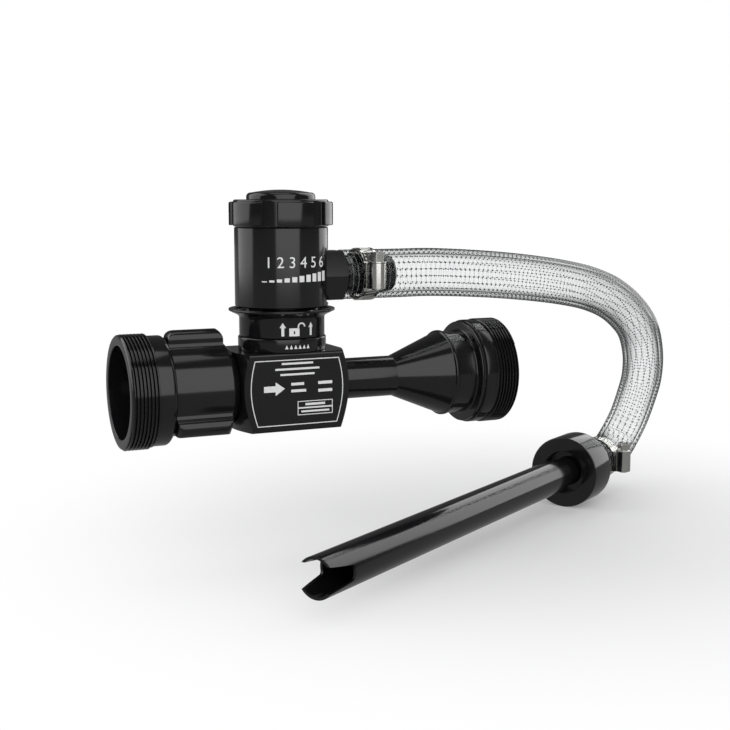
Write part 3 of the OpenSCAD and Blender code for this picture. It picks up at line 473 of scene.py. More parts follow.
plug_outline = rounded([
    (VALVE_R, PLUG_FOOT_FROM, 0.2), (PLUG_FOOT_R, PLUG_FOOT_FROM, 0.3), (PLUG_FOOT_R, RING_FROM, 0),
    (RING_R, RING_FROM, 0.6), (RING_R, RING_TO, 0.9), (PLUG_R, RING_TO, 0.2),
    (PLUG_R, LOCK_Z - LOCK_MOUTH, 0.1), (GROOVE_R, LOCK_Z - LOCK_HALF, 0.4),
    (GROOVE_R, LOCK_Z + LOCK_HALF, 0.4), (PLUG_R, LOCK_Z + LOCK_MOUTH, 0.1),
    (PLUG_R, SEAL_FROM, 0), (SEAL_R, SEAL_FROM, 0), (SEAL_R, SEAL_TO, 0), (PLUG_R, SEAL_TO, 0),
    (PLUG_R, PLUG_TOP, 0.9), (PLUG_BORE_R, PLUG_TOP, 0.4), (PLUG_BORE_R, VALVE_SEAT, 0.5),
    (VALVE_R, VALVE_TOP, 0.5)])
plug_ring = surface("plug_ring", [turned(plug_outline, HEAD, 160)], gloss_black)
fitted(plug_ring, "body", "hard_anodised_aluminium", "quick_plug")


# Release sleeve
# A turned sleeve with a flared lip for the fingers; lifting it against its spring frees the lock balls.
# A land inside holds the balls in the plug's groove, and the space below it lets them move out.
SLEEVE_R = 28.7
SLEEVE_FROM = 32.8
FLARE_FROM = 46.3
LIP_R = 35.7
LIP_FROM = 49.6
LIP_TOP = 51.0
LIP_BORE_R = 31.7
LIP_FLOOR = 48.6
SPRING_POCKET_R = 25.4
LAND_TOP = 44.5
LAND_R = 22.5
LAND_LOW = 40.0
RELEASE_R = 23.6
LAND_RAMP = 1.1

sleeve_outline = rounded([
    (RELEASE_R, SLEEVE_FROM, 0.3), (SLEEVE_R, SLEEVE_FROM, 0.5), (SLEEVE_R, FLARE_FROM, 2.5),
    (LIP_R, LIP_FROM, 0.5), (LIP_R, LIP_TOP, 0.5), (LIP_BORE_R, LIP_TOP, 0.4), (LIP_BORE_R, LIP_FLOOR, 0.3),
    (SPRING_POCKET_R, LIP_FLOOR, 0.3), (SPRING_POCKET_R, LAND_TOP, 0.2), (LAND_R, LAND_TOP, 0.2),
    (LAND_R, LAND_LOW, 0.3), (RELEASE_R, LAND_LOW - LAND_RAMP, 0.3)])
flared_sleeve = surface("flared_sleeve", [turned(sleeve_outline, HEAD, 176)], gloss_black, 30)
fitted(flared_sleeve, "sleeve", "hard_anodised_aluminium", "release_sleeve")


# Metering head
# A bored aluminium cup with a flat milled for the hose fitting; the metering drum turns inside it.
# It stands on the plug, held by ten steel balls in its skirt.
turned_head = eased("head_body", "turned_head", gloss_black, 0.25)
fitted(turned_head, "head", "hard_anodised_aluminium", "head_body")


# Metering knob
# A turned and milled knob with six broad lobes; a screw under the cap fixes it on the drum's stem.
# A shallow groove underneath, with six dimples, rides on the click ball.
KNOB_FROM = 105.4
KNOB_TO = 123.1
KNOB_R = 31.75
LOBE_R = 34.7
LOBE_FROM = 106.2
LOBE_TO = 121.7
LOBES = 6
LOBE_ANGLE = 42.0
LOBE_FIRST = 27.0
LOBE_FLANK = 1.6
FLANK_STEPS = 9
CREST_STEPS = 14
VALLEY_STEPS = 7
KNOB_WELL_R = 9.0
KNOB_WELL_FLOOR = 116.2
SCREW_HOLE_R = 2.7
STEM_R = 6.05
STEM_TOP = 113.2
CLICK_R = 10.5
CLICK_TOP = KNOB_FROM + 2.2


def lobed(radius, angle):
    """What stands out past the knob's wall is kept on a lobe and drawn in to the wall between lobes.
    The share kept goes from 1 to 0 by 3t^2 - 2t^3 across a narrow flank."""
    pitch = 360 / LOBES
    off = np.abs((np.degrees(angle) - LOBE_FIRST + pitch / 2) % pitch - pitch / 2)
    share = np.clip((LOBE_ANGLE / 2 + LOBE_FLANK / 2 - off) / LOBE_FLANK, 0, 1)
    share = share * share * (3 - 2 * share)
    return np.where(radius > KNOB_R, KNOB_R + (radius - KNOB_R) * share, radius)


def lobe_turns():
    """Angles that are close together on the lobes' flanks and wide apart elsewhere."""
    half = LOBE_ANGLE / 2
    flank = np.linspace(half - LOBE_FLANK / 2, half + LOBE_FLANK / 2, FLANK_STEPS)
    rest = 360 / LOBES - half - LOBE_FLANK / 2
    one = np.concatenate([-flank[::-1], np.linspace(-flank[0], flank[0], CREST_STEPS)[1:-1], flank,
                          np.linspace(flank[-1], rest, VALLEY_STEPS)[1:-1]])
    return np.radians(np.concatenate([one + LOBE_FIRST + 360 * k / LOBES for k in range(LOBES)]))


knob_outline = rounded([
    (CLICK_R, KNOB_FROM, 0.2), (KNOB_R, KNOB_FROM, 0.5), (KNOB_R, LOBE_FROM, 0), (LOBE_R, LOBE_FROM, 0.6),
    (LOBE_R, LOBE_TO, 1.3), (KNOB_R, LOBE_TO, 0), (KNOB_R, KNOB_TO, 1.3), (KNOB_WELL_R, KNOB_TO, 0.4),
    (KNOB_WELL_R, KNOB_WELL_FLOOR, 0), (SCREW_HOLE_R, KNOB_WELL_FLOOR, 0.2), (SCREW_HOLE_R, STEM_TOP, 0.1),
    (STEM_R, STEM_TOP, 0), (STEM_R, CLICK_TOP, 0), (CLICK_R, CLICK_TOP, 0.5)])
lobed_knob = surface("lobed_knob", [turned(knob_outline, HEAD, lobe_turns(), lobed)], gloss_black, 32)
fitted(lobed_knob, "knob", "hard_anodised_aluminium", "metering_knob")


# Knob cap
# A low turned cap pressed into the knob's well, with a rounded shoulder and a slightly domed top.
CAP_R = 23.0
CAP_TOP = 129.6
CAP_DOME = 1.9
CAP_SHOULDER_R = 3.2
CAP_SKIRT_FROM = KNOB_TO - 2.2
CAP_SKIRT_R = 8.95
CAP_HOLLOW_R = 6.0
CAP_HOLLOW_TOP = KNOB_TO + 1.2
CAP_ROUND = CAP_SHOULDER_R - 0.4
DOME_STEPS = 16


def cap_dome(radius):
    """A dome point: height = top - dome * (radius / shoulder radius)^2."""
    return radius, CAP_TOP - CAP_DOME * (radius / (CAP_R - CAP_SHOULDER_R)) ** 2, 0


cap_outline = rounded([
    (0, CAP_TOP, 0), (0, CAP_HOLLOW_TOP, 0), (CAP_HOLLOW_R, CAP_HOLLOW_TOP, 0),
    (CAP_HOLLOW_R, CAP_SKIRT_FROM, 0.2), (CAP_SKIRT_R, CAP_SKIRT_FROM, 0.2), (CAP_SKIRT_R, KNOB_TO, 0),
    (CAP_R, KNOB_TO, 0.2), (CAP_R, CAP_TOP - CAP_DOME, CAP_ROUND),
    *(cap_dome(radius) for radius in np.linspace(CAP_R - CAP_SHOULDER_R, 1, DOME_STEPS))], 10)
domed_cap = surface("domed_cap", [turned(cap_outline, HEAD, 144)], gloss_black, 30)
fitted(domed_cap, "knob", "hard_anodised_aluminium", "knob_cap")


# Hose fitting
# Hexagon bar turned to a thread at one end and to hose barbs at the other, anodised black.
hexagon_fitting = eased("hose_fitting", "hexagon_fitting", gloss_black, 0.35)
fitted(hexagon_fitting, "head", "black_anodised_fitting", "hose_fitting")


# Pieces inside
# The nozzle, drum, valve ball, springs, balls and screws, which only show where something is lifted.
# Stainless steel is bright rolled or drawn: fine lines blur its reflections a little.
SPRING_WIRE_R = 0.55
SPRING_TURNS = 2.5
SPRING_STEPS = 160
WIRE_SIDES = 12

stainless = new_material("bright_rolled_stainless_steel")
tree = stainless.node_tree
spot = add_node(tree, "ShaderNodeTexCoord").outputs["Object"]
drawn = add_node(tree, "ShaderNodeMapping", {"Vector": spot, "Scale": (1.0, 1.0, 12.0)})
lines = add_node(tree, "ShaderNodeTexNoise",
                 {"Vector": drawn.outputs[0], "Scale": 1 / (4 * MM), "Detail": 4.0}).outputs["Fac"]
tone = between(tree, lines, "#b3b3b1", "#dcdbd6")
sheen = add_node(tree, "ShaderNodeMapRange", {0: lines, 3: 0.06, 4: 0.18})
finished(tree, {"Base Color": tone, "Metallic": 1.0, "Roughness": sheen.outputs[0]})

# Acetal: a dense white plastic, ground to a smooth ball, with a faint cloudiness.
acetal = new_material("ground_acetal")
tree = acetal.node_tree
finished(tree, {"Base Color": between(tree, noise(tree, 3), "#e2e0d8", "#efeee8"), "Roughness": 0.35})

painted(gloss_black, "jet_nozzle", "metering_drum")
painted(stainless, "race_balls", "race_plug", "ball_pin", "lock_balls", "sleeve_ring", "detent_spring",
        "detent_ball", "knob_screw")
painted(acetal, "check_ball")


def coil(foot, coil_r, height):
    """A wire wound up from a foot: foot + r (cos a, sin a, 0) + (0, 0, rise), with a flat face at each end.
    The wire's round section stands on the outward and upward directions. Lengths are in metres."""
    thick = SPRING_WIRE_R * MM
    share = np.concatenate([[0], np.linspace(0, 1, SPRING_STEPS + 1), [1]])[:, None, None]
    turn = 2 * np.pi * SPRING_TURNS * share
    outward = np.concatenate([np.cos(turn), np.sin(turn), np.zeros_like(turn)], -1)
    upward = np.array((0, 0, 1.0))
    middle = foot + coil_r * outward + (thick + share * (height - 2 * thick)) * upward
    radius = np.full_like(share, thick)
    radius[[0, -1]] = 0
    b = np.linspace(0, 2 * np.pi, WIRE_SIDES, endpoint=False)[None, :, None]
    return middle + radius * (np.cos(b) * outward + np.sin(b) * upward), False, True


# Release spring: drawn wire from the sleeve's land up to the head, which shortens as the sleeve is lifted.
spring_low, spring_high = (np.array(corner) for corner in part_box("sleeve_spring"))
spring_foot = np.array((HEAD[0][0] * MM, HEAD[0][1] * MM, spring_low[2]))
coil_r = (spring_high[1] - spring_low[1]) / 2 - SPRING_WIRE_R * MM
spring_wire = coil(spring_foot, coil_r, spring_high[2] - spring_low[2])
release_spring = surface("release_spring", [spring_wire], stainless, 60)
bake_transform(release_spring)
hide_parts("sleeve_spring")


# Suction hose
# Clear soft PVC, extruded over a net of polyester yarn, so its wall is quilted between the yarns.
# It runs from the fitting's shoulder to the wand, pushed over barbs at both ends and clamped.
HOSE_START = (-122.5, 0, 72.1)
HOSE_DROP = 172.0
HOSE_R = 17.0
HOSE_BORE_R = 13.5
YARNS = 20
YARN_RING_R = 15.8
RING_PITCH = 3.9
RING_HALF = 0.09
LONG_HALF = 0.06
KNOT_HALF = 0.6
KNOT_FROM = 0.72
KNOT_RAMP = 0.12
YARN_SIDES = 4
QUILT = 0.16
ROUTE_STEPS = 24
WALL_STEPS = 5
BORE_STEPS = 160
LONG_STEPS = 8
LONG_INSET = 0.3
RING_STEPS = 36
RING_INSET = 0.6
RIM_POWER = 4.6
RIM_GAIN = 1.9
SKIN_POWER = 5.0
SKIN_EDGE = 0.5
SKIN_FACE = 0.015
HOSE_ROUTE = (
    (0, 0, 0), (22, 0, 0), (44, 0, 0), (67.5, 1, 0), (97.5, 3, -1.5), (129.5, 6, -4), (161.5, 10, -7.5),
    (192.5, 16, -12), (221.5, 24, -18), (248.5, 34, -27), (273.5, 46, -40), (295.5, 60, -56),
    (312.5, 75, -78), (323.5, 90, -101), (328.5, 104, -122), (328.5, 114, -142), (322.5, 118, -158),
    (311.5, 113.6, -167.6), (301, 107.6, -170.9), (292.5, 102.5, -171.5), (284, 97.25, -171.5),
    (275.5, 92, -171.5))


def smooth_line(points, steps):
    """A curve through the points, in which each stretch from b to c is a cubic:
    0.5 (2b + (c-a)t + (2a-5b+4c-d)t^2 + (3b-a-3c+d)t^3)."""
    padded = np.vstack([2 * points[0] - points[1], points, 2 * points[-1] - points[-2]])
    a, b, c, d = (padded[i:len(padded) - 3 + i, None] for i in range(4))
    t = (np.arange(steps) / steps)[None, :, None]
    curve = 0.5 * (
        2 * b + (c - a) * t + (2 * a - 5 * b + 4 * c - d) * t ** 2 + (3 * b - a - 3 * c + d) * t ** 3)
    return np.vstack([curve.reshape(-1, 3), points[-1:]])


drop_scale = (1, 1, -HOSE_DROP / HOSE_ROUTE[-1][2])
hose_line = smooth_line(np.array(HOSE_ROUTE, float) * drop_scale + np.array(HOSE_START), ROUTE_STEPS)
hose_run = np.concatenate([[0], np.cumsum(np.linalg.norm(np.diff(hose_line, axis=0), axis=1))])
hose_length = hose_run[-1]
hose_heading = np.gradient(hose_line, hose_run, axis=0)
hose_plane = np.linalg.svd(hose_line - hose_line.mean(0))[2][-1]


def round_hose(station, angle, radius):
    """Points at distance station along the hose, at an angle round it and a radius from its middle line.
    p = middle + radius * (across cos a + up sin a), with across the normal of the hose's own plane.
    The directions outwards and along the hose are given too."""
    station, angle, radius = np.broadcast_arrays(station, angle, radius)
    middle = np.stack([np.interp(station, hose_run, hose_line[:, k]) for k in range(3)], -1)
    ahead = np.stack([np.interp(station, hose_run, hose_heading[:, k]) for k in range(3)], -1)
    ahead /= np.linalg.norm(ahead, axis=-1, keepdims=True)
    across = hose_plane - (ahead @ hose_plane)[..., None] * ahead
    across /= np.linalg.norm(across, axis=-1, keepdims=True)
    outward = np.cos(angle)[..., None] * across + np.sin(angle)[..., None] * np.cross(ahead, across)
    return middle + radius[..., None] * outward, outward, ahead


def quilted(station, angle):
    """The outer radius: full in the middle of each cell of the net and lower over its yarns.
    r = R - quilt (1 - sqrt(|sin pi (s / pitch - a / 2 pi)| |sin n a / 2|))."""
    along = np.abs(np.sin(np.pi * (station / RING_PITCH - angle / (2 * np.pi))))
    around = np.abs(np.sin(YARNS * angle / 2))
    return HOSE_R - QUILT * (1 - np.sqrt(along * around))


# Plasticised PVC: clear, so the yarns and the barbs show through it, with a glossy skin.
# Its see-through colour darkens where the wall is seen edge on: partly light lost along the longer path,
# partly painted shade for the dark room that a refracting wall would show there.
clear_pvc = new_material("clear_soft_pvc")
tree = clear_pvc.node_tree
tint = between(tree, noise(tree, 9), "#fafbfb", "#ffffff")
edge = add_node(tree, "ShaderNodeLayerWeight").outputs["Facing"]
rim = add_node(tree, "ShaderNodeMath", {0: edge, 1: RIM_POWER}, operation="POWER")
# thick is the share of that darkening: painted shade at the outline, only partly the longer path through the
# wall.
thick = add_node(tree, "ShaderNodeMath", {0: rim.outputs[0], 1: RIM_GAIN},
                 operation="MULTIPLY", use_clamp=True)
clear = add_node(tree, "ShaderNodeMix",
                 {0: thick.outputs[0], 6: tint, 7: srgb("#242628")}, data_type="RGBA")
steep = add_node(tree, "ShaderNodeMath", {0: edge, 1: SKIN_POWER}, operation="POWER")
skin = add_node(tree, "ShaderNodeMath", {0: steep.outputs[0], 1: SKIN_EDGE, 2: SKIN_FACE},
                operation="MULTIPLY_ADD")
inner = add_node(tree, "ShaderNodeBsdfTransparent", {"Color": clear.outputs[2]})
gloss = add_node(tree, "ShaderNodeBsdfGlossy", {"Roughness": 0.08})
both = add_node(tree, "ShaderNodeMixShader", {0: skin.outputs[0], 1: inner.outputs[0], 2: gloss.outputs[0]})
add_node(tree, "ShaderNodeOutputMaterial", {"Surface": both.outputs[0]})

hose_turns = np.linspace(0, 2 * np.pi, YARNS * WALL_STEPS, endpoint=False)
outer_stations = np.linspace(0, hose_length, int(hose_length / RING_PITCH * WALL_STEPS))[:, None]
bore_stations = np.linspace(hose_length, 0, BORE_STEPS + 1)[:, None]
outer_wall = round_hose(outer_stations, hose_turns, quilted(outer_stations, hose_turns))[0]
bore_wall = round_hose(bore_stations, hose_turns, HOSE_BORE_R)[0]
hose_wall = np.concatenate([outer_wall, bore_wall]) * MM
clear_hose = surface("clear_hose", [(hose_wall, True, True)], clear_pvc, 60)
fitted(clear_hose, "head", "clear_pvc", "suction_hose")

# Polyester yarn: bundles of fine thread in the wall, coloured dark grey as painted shade for the dark lines
# and dots that refraction in the quilted wall shows along them; the yarn itself is pale.
yarn_shade_grey = new_material("polyester_yarn")
tree = yarn_shade_grey.node_tree
finished(tree, {"Base Color": between(tree, noise(tree, 1.2), "#1c1d1f", "#4a4c4e"), "Roughness": 0.5})


def yarn(station, angle, half, along_hose):
    """A yarn carried along a line on the net: centre + half (outward cos b + sideways sin b).
    Its half width may change along it, and its two ends close to points."""
    centre, outward, ahead = round_hose(station, angle, YARN_RING_R)
    sideways = np.cross(ahead, outward) if along_hose else ahead
    size = np.ones((len(station), 1, 1))
    size[[0, -1]] = 0
    b = np.linspace(0, 2 * np.pi, YARN_SIDES, endpoint=False)[None, :, None]
    section = np.cos(b) * outward[:, None] + np.sin(b) * sideways[:, None]
    return (centre[:, None] + size * np.reshape(half, (-1, 1, 1)) * section) * MM, False, True


# The wide knots are drawn in the yarn's painted-shade grey, and so give the net's dark dots.
def knots(station, angle):
    """Half width of a long yarn: a thin thread between rings, and a knot where the ring yarn crosses it.
    near is 1 at a crossing and 0 half way to the next, and the width ramps up from KNOT_FROM."""
    near = np.abs((station / RING_PITCH - angle / (2 * np.pi)) % 1 - 0.5) * 2
    return LONG_HALF + (KNOT_HALF - LONG_HALF) * np.clip((near - KNOT_FROM) / KNOT_RAMP, 0, 1)


long_stations = np.linspace(
    LONG_INSET, hose_length - LONG_INSET, int(hose_length / RING_PITCH * LONG_STEPS))
long_yarns = []
for k in range(YARNS):
    turn = np.full(len(long_stations), 2 * np.pi * k / YARNS)
    long_yarns.append(yarn(long_stations, turn, knots(long_stations, turn), True))
ring_stations = np.linspace(
    RING_INSET, hose_length - RING_INSET, int(hose_length / RING_PITCH * RING_STEPS))
ring_yarn = yarn(ring_stations, 2 * np.pi * ring_stations / RING_PITCH, RING_HALF, False)
hose_yarn = surface("hose_yarn", long_yarns, yarn_shade_grey, 80)
fitted(hose_yarn, "head", "clear_pvc")

# The ring yarn is a single thin thread: pale, and nearly lost against the light.
thread_white = new_material("polyester_thread")
tree = thread_white.node_tree
finished(tree, {"Base Color": between(tree, noise(tree, 1.2), "#a6a8aa", "#d5d7d8"), "Roughness": 0.6})
hose_thread = surface("hose_thread", [ring_yarn], thread_white, 80)
fitted(hose_thread, "head", "clear_pvc")


# Hose clamps
# Worm-drive clamps: a stamped stainless band with slanting slots, a pressed housing and a hexagon screw.
# One stands at each end of the hose, with its screw upright on the near side.
BAND_R = 18.05
BAND_BORE_R = 17.15
BAND_W = 12.0
HEAD_BAND_X = 17.2
WAND_BAND_X = 11.0
SLOT_PITCH = 3.2
SLOT_W = 1.5
SLOT_L = 7.4
SLOT_SLANT = 0.22
SLOT_DEPTH = 0.35
SLOT_EASE = 0.25
BAND_EASE = 0.3
BAND_ROLL = 0.2
BAND_STEPS = 560
BAND_LINES = 49
WAND_TAIL = np.array((153.0, 92.0, -99.9))
WAND_BACK = np.array((17.0, 10.5, 0))
WAND_BACK /= np.linalg.norm(WAND_BACK)


def slotted_band(centre, along):
    """A ring of flat band: radius less the depth of a slot where the slanting slot pattern lies.
    Its grid goes round the outside from edge to edge and back along the bore."""
    width = np.concatenate([np.linspace(-BAND_W / 2, BAND_W / 2, BAND_LINES), [BAND_W / 2, -BAND_W / 2]])
    angle = np.linspace(0, 2 * np.pi, BAND_STEPS, endpoint=False)
    pitch = 2 * np.pi * BAND_R / round(2 * np.pi * BAND_R / SLOT_PITCH)
    off = np.abs((angle * BAND_R + SLOT_SLANT * width[:, None]) / pitch % 1 - 0.5) * pitch
    away = np.abs(width[:, None])
    slot = np.clip((SLOT_W / 2 - off) / SLOT_EASE, 0, 1) * np.clip((SLOT_L / 2 - away) / SLOT_EASE, 0, 1)
    edge = np.clip((BAND_W / 2 - away) / BAND_EASE, 0, 1)
    radius = BAND_R - SLOT_DEPTH * slot - BAND_ROLL * (1 - np.sqrt(edge))
    radius[-2:] = BAND_BORE_R
    side = np.cross((0, 0, 1), along)
    ring = np.cos(angle)[:, None] * side + np.sin(angle)[:, None] * np.array((0, 0, 1))
    return (centre + width[:, None, None] * along + radius[..., None] * ring) * MM, True, True


clamp_pieces = []
for end, centre, along in (
        ("head", np.array(HOSE_START) + (HEAD_BAND_X, 0, 0), np.array((1.0, 0, 0))),
        ("wand", WAND_TAIL + WAND_BAND_X * WAND_BACK, WAND_BACK)):
    band = surface(f"{end}_slotted_band", [slotted_band(centre, along)], stainless, 50)
    fitted(band, "head", "stainless_steel", f"{end}_clamp_band")
    housing = eased(f"{end}_clamp_housing", f"{end}_pressed_housing", stainless, 0.5)
    fitted(housing, "head", "stainless_steel", f"{end}_clamp_housing")
    screw = eased(f"{end}_clamp_screw", f"{end}_worm_screw", stainless, 0.3)
    fitted(screw, "head", "stainless_steel", f"{end}_clamp_screw")
    clamp_pieces += [band, housing, screw]


# Pick-up wand
# A turned grip flange with a barb behind it and a neck in front, and a thin tube pushed on the neck.
# The tube's tip has a slot right across it, so that it can't seal against the bottom of a can.
WAND = (tuple(WAND_TAIL), tuple(WAND_BACK))
FLANGE_R = 28.9
FLANGE_BACK = -26.0
FLANGE_FRONT = -58.0
RECESS_R = 17.5
RECESS_FLOOR = -48.0
SHANK_R = 16.5
SHANK_END = -22.0
NECK_R = 11.55
NECK_END = -101.0
WAND_BORE_R = 9.5
BARB_ROOT_R = 12.2
BARB_CREST_R = 13.2
BARB_FROM = 2.0
BARB_PITCH = 7.0
BARB_LENGTH = 6.8
BARB_END = 21.0

barbs = [corner for start in (BARB_FROM, BARB_FROM + BARB_PITCH) for corner in (
    (BARB_ROOT_R, start, 0), (BARB_CREST_R, start, 0.15), (BARB_ROOT_R, start + BARB_LENGTH, 0))]
flange_outline = rounded([
    (WAND_BORE_R, NECK_END, 0.3), (NECK_R, NECK_END, 0.3), (NECK_R, RECESS_FLOOR, 0.5),
    (RECESS_R, RECESS_FLOOR, 0.8), (RECESS_R, FLANGE_FRONT, 0.4), (FLANGE_R, FLANGE_FRONT, 0.8),
    (FLANGE_R, FLANGE_BACK, 4), (SHANK_R, SHANK_END, 1), (SHANK_R, 0, 0.8), (BARB_ROOT_R, 0, 0.2), *barbs,
    (BARB_ROOT_R, BARB_END, 1), (WAND_BORE_R, BARB_END, 0.3)])
grip_flange = surface("grip_flange", [turned(flange_outline, WAND, 160)], gloss_black, 32)
fitted(grip_flange, "head", "hard_anodised_aluminium", "wand_fitting")

slotted_tube = eased("wand_tube", "slotted_tube", gloss_black, 0.6)
fitted(slotted_tube, "head", "hard_anodised_aluminium", "wand_tube")


# Printed marks
# White screen-printed ink: settings and bars on the head, arrows and an open padlock on the sleeve,
# a row of arrow heads on the ring, and a bordered flow plate on the block.
INK_T = 0.12
INK_LIFT = 0.04
INK_STEP = 1.0
INK_WELD = 1e-4
INK_CUT = 1e-5
HEAD_R = 31.3
PLATE_Y = -28.5
PLATE_LOW = -28.5
PLATE_HIGH = 23.5
PLATE_HALF = 37.5
CROWN_R = 27.0
LINE_OUTER = 4.2
LINE_INNER = 4.8
FIGURE_CAP = 0.69
FIGURES = 6
FIGURE_H = 7.0
FIGURE_PITCH = 7.8
FIGURE_FOOT = 79.2
METER_BARS = 10
METER_PITCH = 5.0
METER_W = 3.4
METER_FOOT = 69.9
METER_LOWEST = 0.7
METER_STEP = 0.66
POINTERS = 6
POINTER_PITCH = 3.0
POINTER_FOOT = 26.2
SHACKLE_STEPS = 17
POINTER = ((-1.1, 0), (1.1, 0), (0, 2.6))


def box_outline(u, v, width, height):
    """Four corners of a bar about its middle."""
    return np.array((u, v)) + np.array(((-1, -1), (1, -1), (1, 1), (-1, 1))) * (width / 2, height / 2)


def arrow_outline(u, v, width, length, stem, head):
    """An upright arrow about its middle, from the foot of its stem round its point."""
    tip, neck, foot = length / 2, length / 2 - head, -length / 2
    points = ((-stem / 2, foot), (stem / 2, foot), (stem / 2, neck), (width / 2, neck), (0, tip),
              (-width / 2, neck), (-stem / 2, neck))
    return np.array((u, v)) + np.array(points)


def shackle_outline(u, v, radius, line, leg):
    """An open shackle: a half ring of the line's width with one long leg and one short one."""
    turn = np.linspace(0, np.pi, SHACKLE_STEPS)
    ring = np.column_stack([np.cos(turn), np.sin(turn)])
    outer, inner = (radius + line / 2) * ring, (radius - line / 2) * ring[::-1]
    left = np.array(((-radius - line / 2, -leg), (-radius + line / 2, -leg)))
    return np.array((u, v)) + np.vstack([outer, left, inner])


def artwork(outlines, figures=()):
    """Flat ink in millimetres: outlines are filled, and one inside another is a hole.
    Each figure stands on its own point. The ink is cut across every millimetre, so that it can bend."""
    drawing = bpy.data.curves.new("drawing", "CURVE")
    drawing.dimensions = "2D"
    for outline in outlines:
        spline = drawing.splines.new("POLY")
        spline.points.add(len(outline) - 1)
        flat_end = np.tile((0.0, 1.0), (len(outline), 1))
        spline.points.foreach_set("co", np.column_stack([outline, flat_end]).ravel())
        spline.use_cyclic_u = True
    drawn = [(drawing, (0, 0))]
    for figure, place, height in figures:
        digit = bpy.data.curves.new("figure", "FONT")
        digit.body = figure
        digit.align_x = "CENTER"
        digit.size = height / FIGURE_CAP
        drawn.append((digit, place))
    flat = bmesh.new()
    for curve, place in drawn:
        curve.fill_mode = "BOTH"
        curve.extrude = INK_T / 2
        holder = bpy.data.objects.new("drawing", curve)
        scene.collection.objects.link(holder)
        depsgraph = bpy.context.evaluated_depsgraph_get()
        inked = bpy.data.meshes.new_from_object(holder.evaluated_get(depsgraph))
        inked.transform(Matrix.Translation((*place, 0)))
        flat.from_mesh(inked)
        bpy.data.objects.remove(holder)
        bpy.data.meshes.remove(inked)
    bmesh.ops.remove_doubles(flat, verts=flat.verts, dist=INK_WELD)
    across = [vertex.co.x for vertex in flat.verts]
    for u in np.arange(min(across) + INK_STEP, max(across), INK_STEP):
        parts = flat.verts[:] + flat.edges[:] + flat.faces[:]
        bmesh.ops.bisect_plane(flat, geom=parts, dist=INK_CUT, plane_co=(u, 0, 0), plane_no=(1, 0, 0))
    mesh = bpy.data.meshes.new("ink")
    flat.to_mesh(mesh)
    flat.free()
    return mesh


def printed(name, mesh, body, radius=None):
    """Ink laid round the head's axis, (r sin a, -r cos a, height) with a = across / radius.
    Without a radius it lies flat on the block's front."""
    flat = np.empty(3 * len(mesh.vertices), np.float32)
    mesh.vertices.foreach_get("co", flat)
    across, up, proud = flat.reshape(-1, 3).T
    proud = proud + INK_LIFT
    if radius:
        turn = across / radius
        reach = radius + proud
        place = np.stack([HEAD[0][0] + reach * np.sin(turn), -reach * np.cos(turn), up], -1)
    else:
        place = np.stack([HEAD[0][0] + across, PLATE_Y - proud, up], -1)
    mesh.vertices.foreach_set("co", (place * MM).astype(np.float32).ravel())
    return fitted(dressed(name, mesh, white_ink), body, "acetal")


# Epoxy screen ink: opaque white with a soft sheen, a little thin where the mesh of the screen showed.
white_ink = new_material("white_screen_ink")
tree = white_ink.node_tree
finished(tree, {"Base Color": between(tree, noise(tree, 1.5, 3.0), "#c4c5c6", "#e6e6e5"), "Roughness": 0.45})


def row(count, pitch):
    """Places along a row about its middle: pitch * (k - (count - 1) / 2)."""
    return [pitch * (k - (count - 1) / 2) for k in range(count)]


settings = [(str(k + 1), (u, FIGURE_FOOT), FIGURE_H) for k, u in enumerate(row(FIGURES, FIGURE_PITCH))]
meter = []
for k, u in enumerate(row(METER_BARS, METER_PITCH)):
    height = METER_LOWEST + METER_STEP * k
    meter.append(box_outline(u, METER_FOOT + height / 2, METER_W, height))
printed("head_settings", artwork(meter, settings), "head", HEAD_R)

lock = [arrow_outline(-9.7, 39.0, 4.2, 8.8, 1.9, 3.4), arrow_outline(10.3, 39.0, 3.6, 8.8, 1.6, 3.4),
        box_outline(-2.0, 37.1, 7.0, 5.2), box_outline(-2.0, 36.8, 1.0, 1.8),
        shackle_outline(3.0, 40.6, 2.3, 1.0, 1.2)]
printed("sleeve_lock", artwork(lock), "sleeve", SLEEVE_R)

pointers = [np.array(POINTER) + (u, POINTER_FOOT) for u in row(POINTERS, POINTER_PITCH)]
printed("ring_arrows", artwork(pointers), "body", RING_R)


def plate_border(inset, steps=12):
    """The outline of the block's crowned front face, drawn in by an inset.
    Half its width is PLATE_HALF - (sqrt(y^2 + z^2) - CROWN_R) / 2 at the height z."""
    up = np.linspace(PLATE_LOW + inset, PLATE_HIGH - inset, steps)
    half = PLATE_HALF - (np.hypot(PLATE_Y, up) - CROWN_R) / 2 - inset
    return np.vstack([np.column_stack([half, up]), np.column_stack([-half, up])[::-1]])


border = [plate_border(LINE_OUTER), plate_border(LINE_INNER)]
bars = [box_outline(0, 16.6, 22, 1.3), box_outline(0, 13.0, 31, 1.3), box_outline(0, 9.4, 24, 1.3),
        box_outline(0, 2.9, 9, 1.8), box_outline(0.7, -1.6, 10.5, 1.8),
        box_outline(19.6, 2.9, 10, 2.0), box_outline(19.6, -2.3, 10, 2.0)]
flow = arrow_outline(0, 0, 9, 14.5, 4.0, 6.5)[:, ::-1] * (1, -1) + (-16.2, 0.3)
boxes = [box_outline(12.4, -13.4, 25, 9.4), box_outline(12.4, -11.0, 24, 3.6),
         box_outline(12.4, -15.7, 24, 3.8), box_outline(12.4, -11.0, 14, 1.5),
         box_outline(12.4, -15.7, 20, 1.2)]
printed("flow_plate", artwork([*border, *bars, flow, *boxes]), "body")


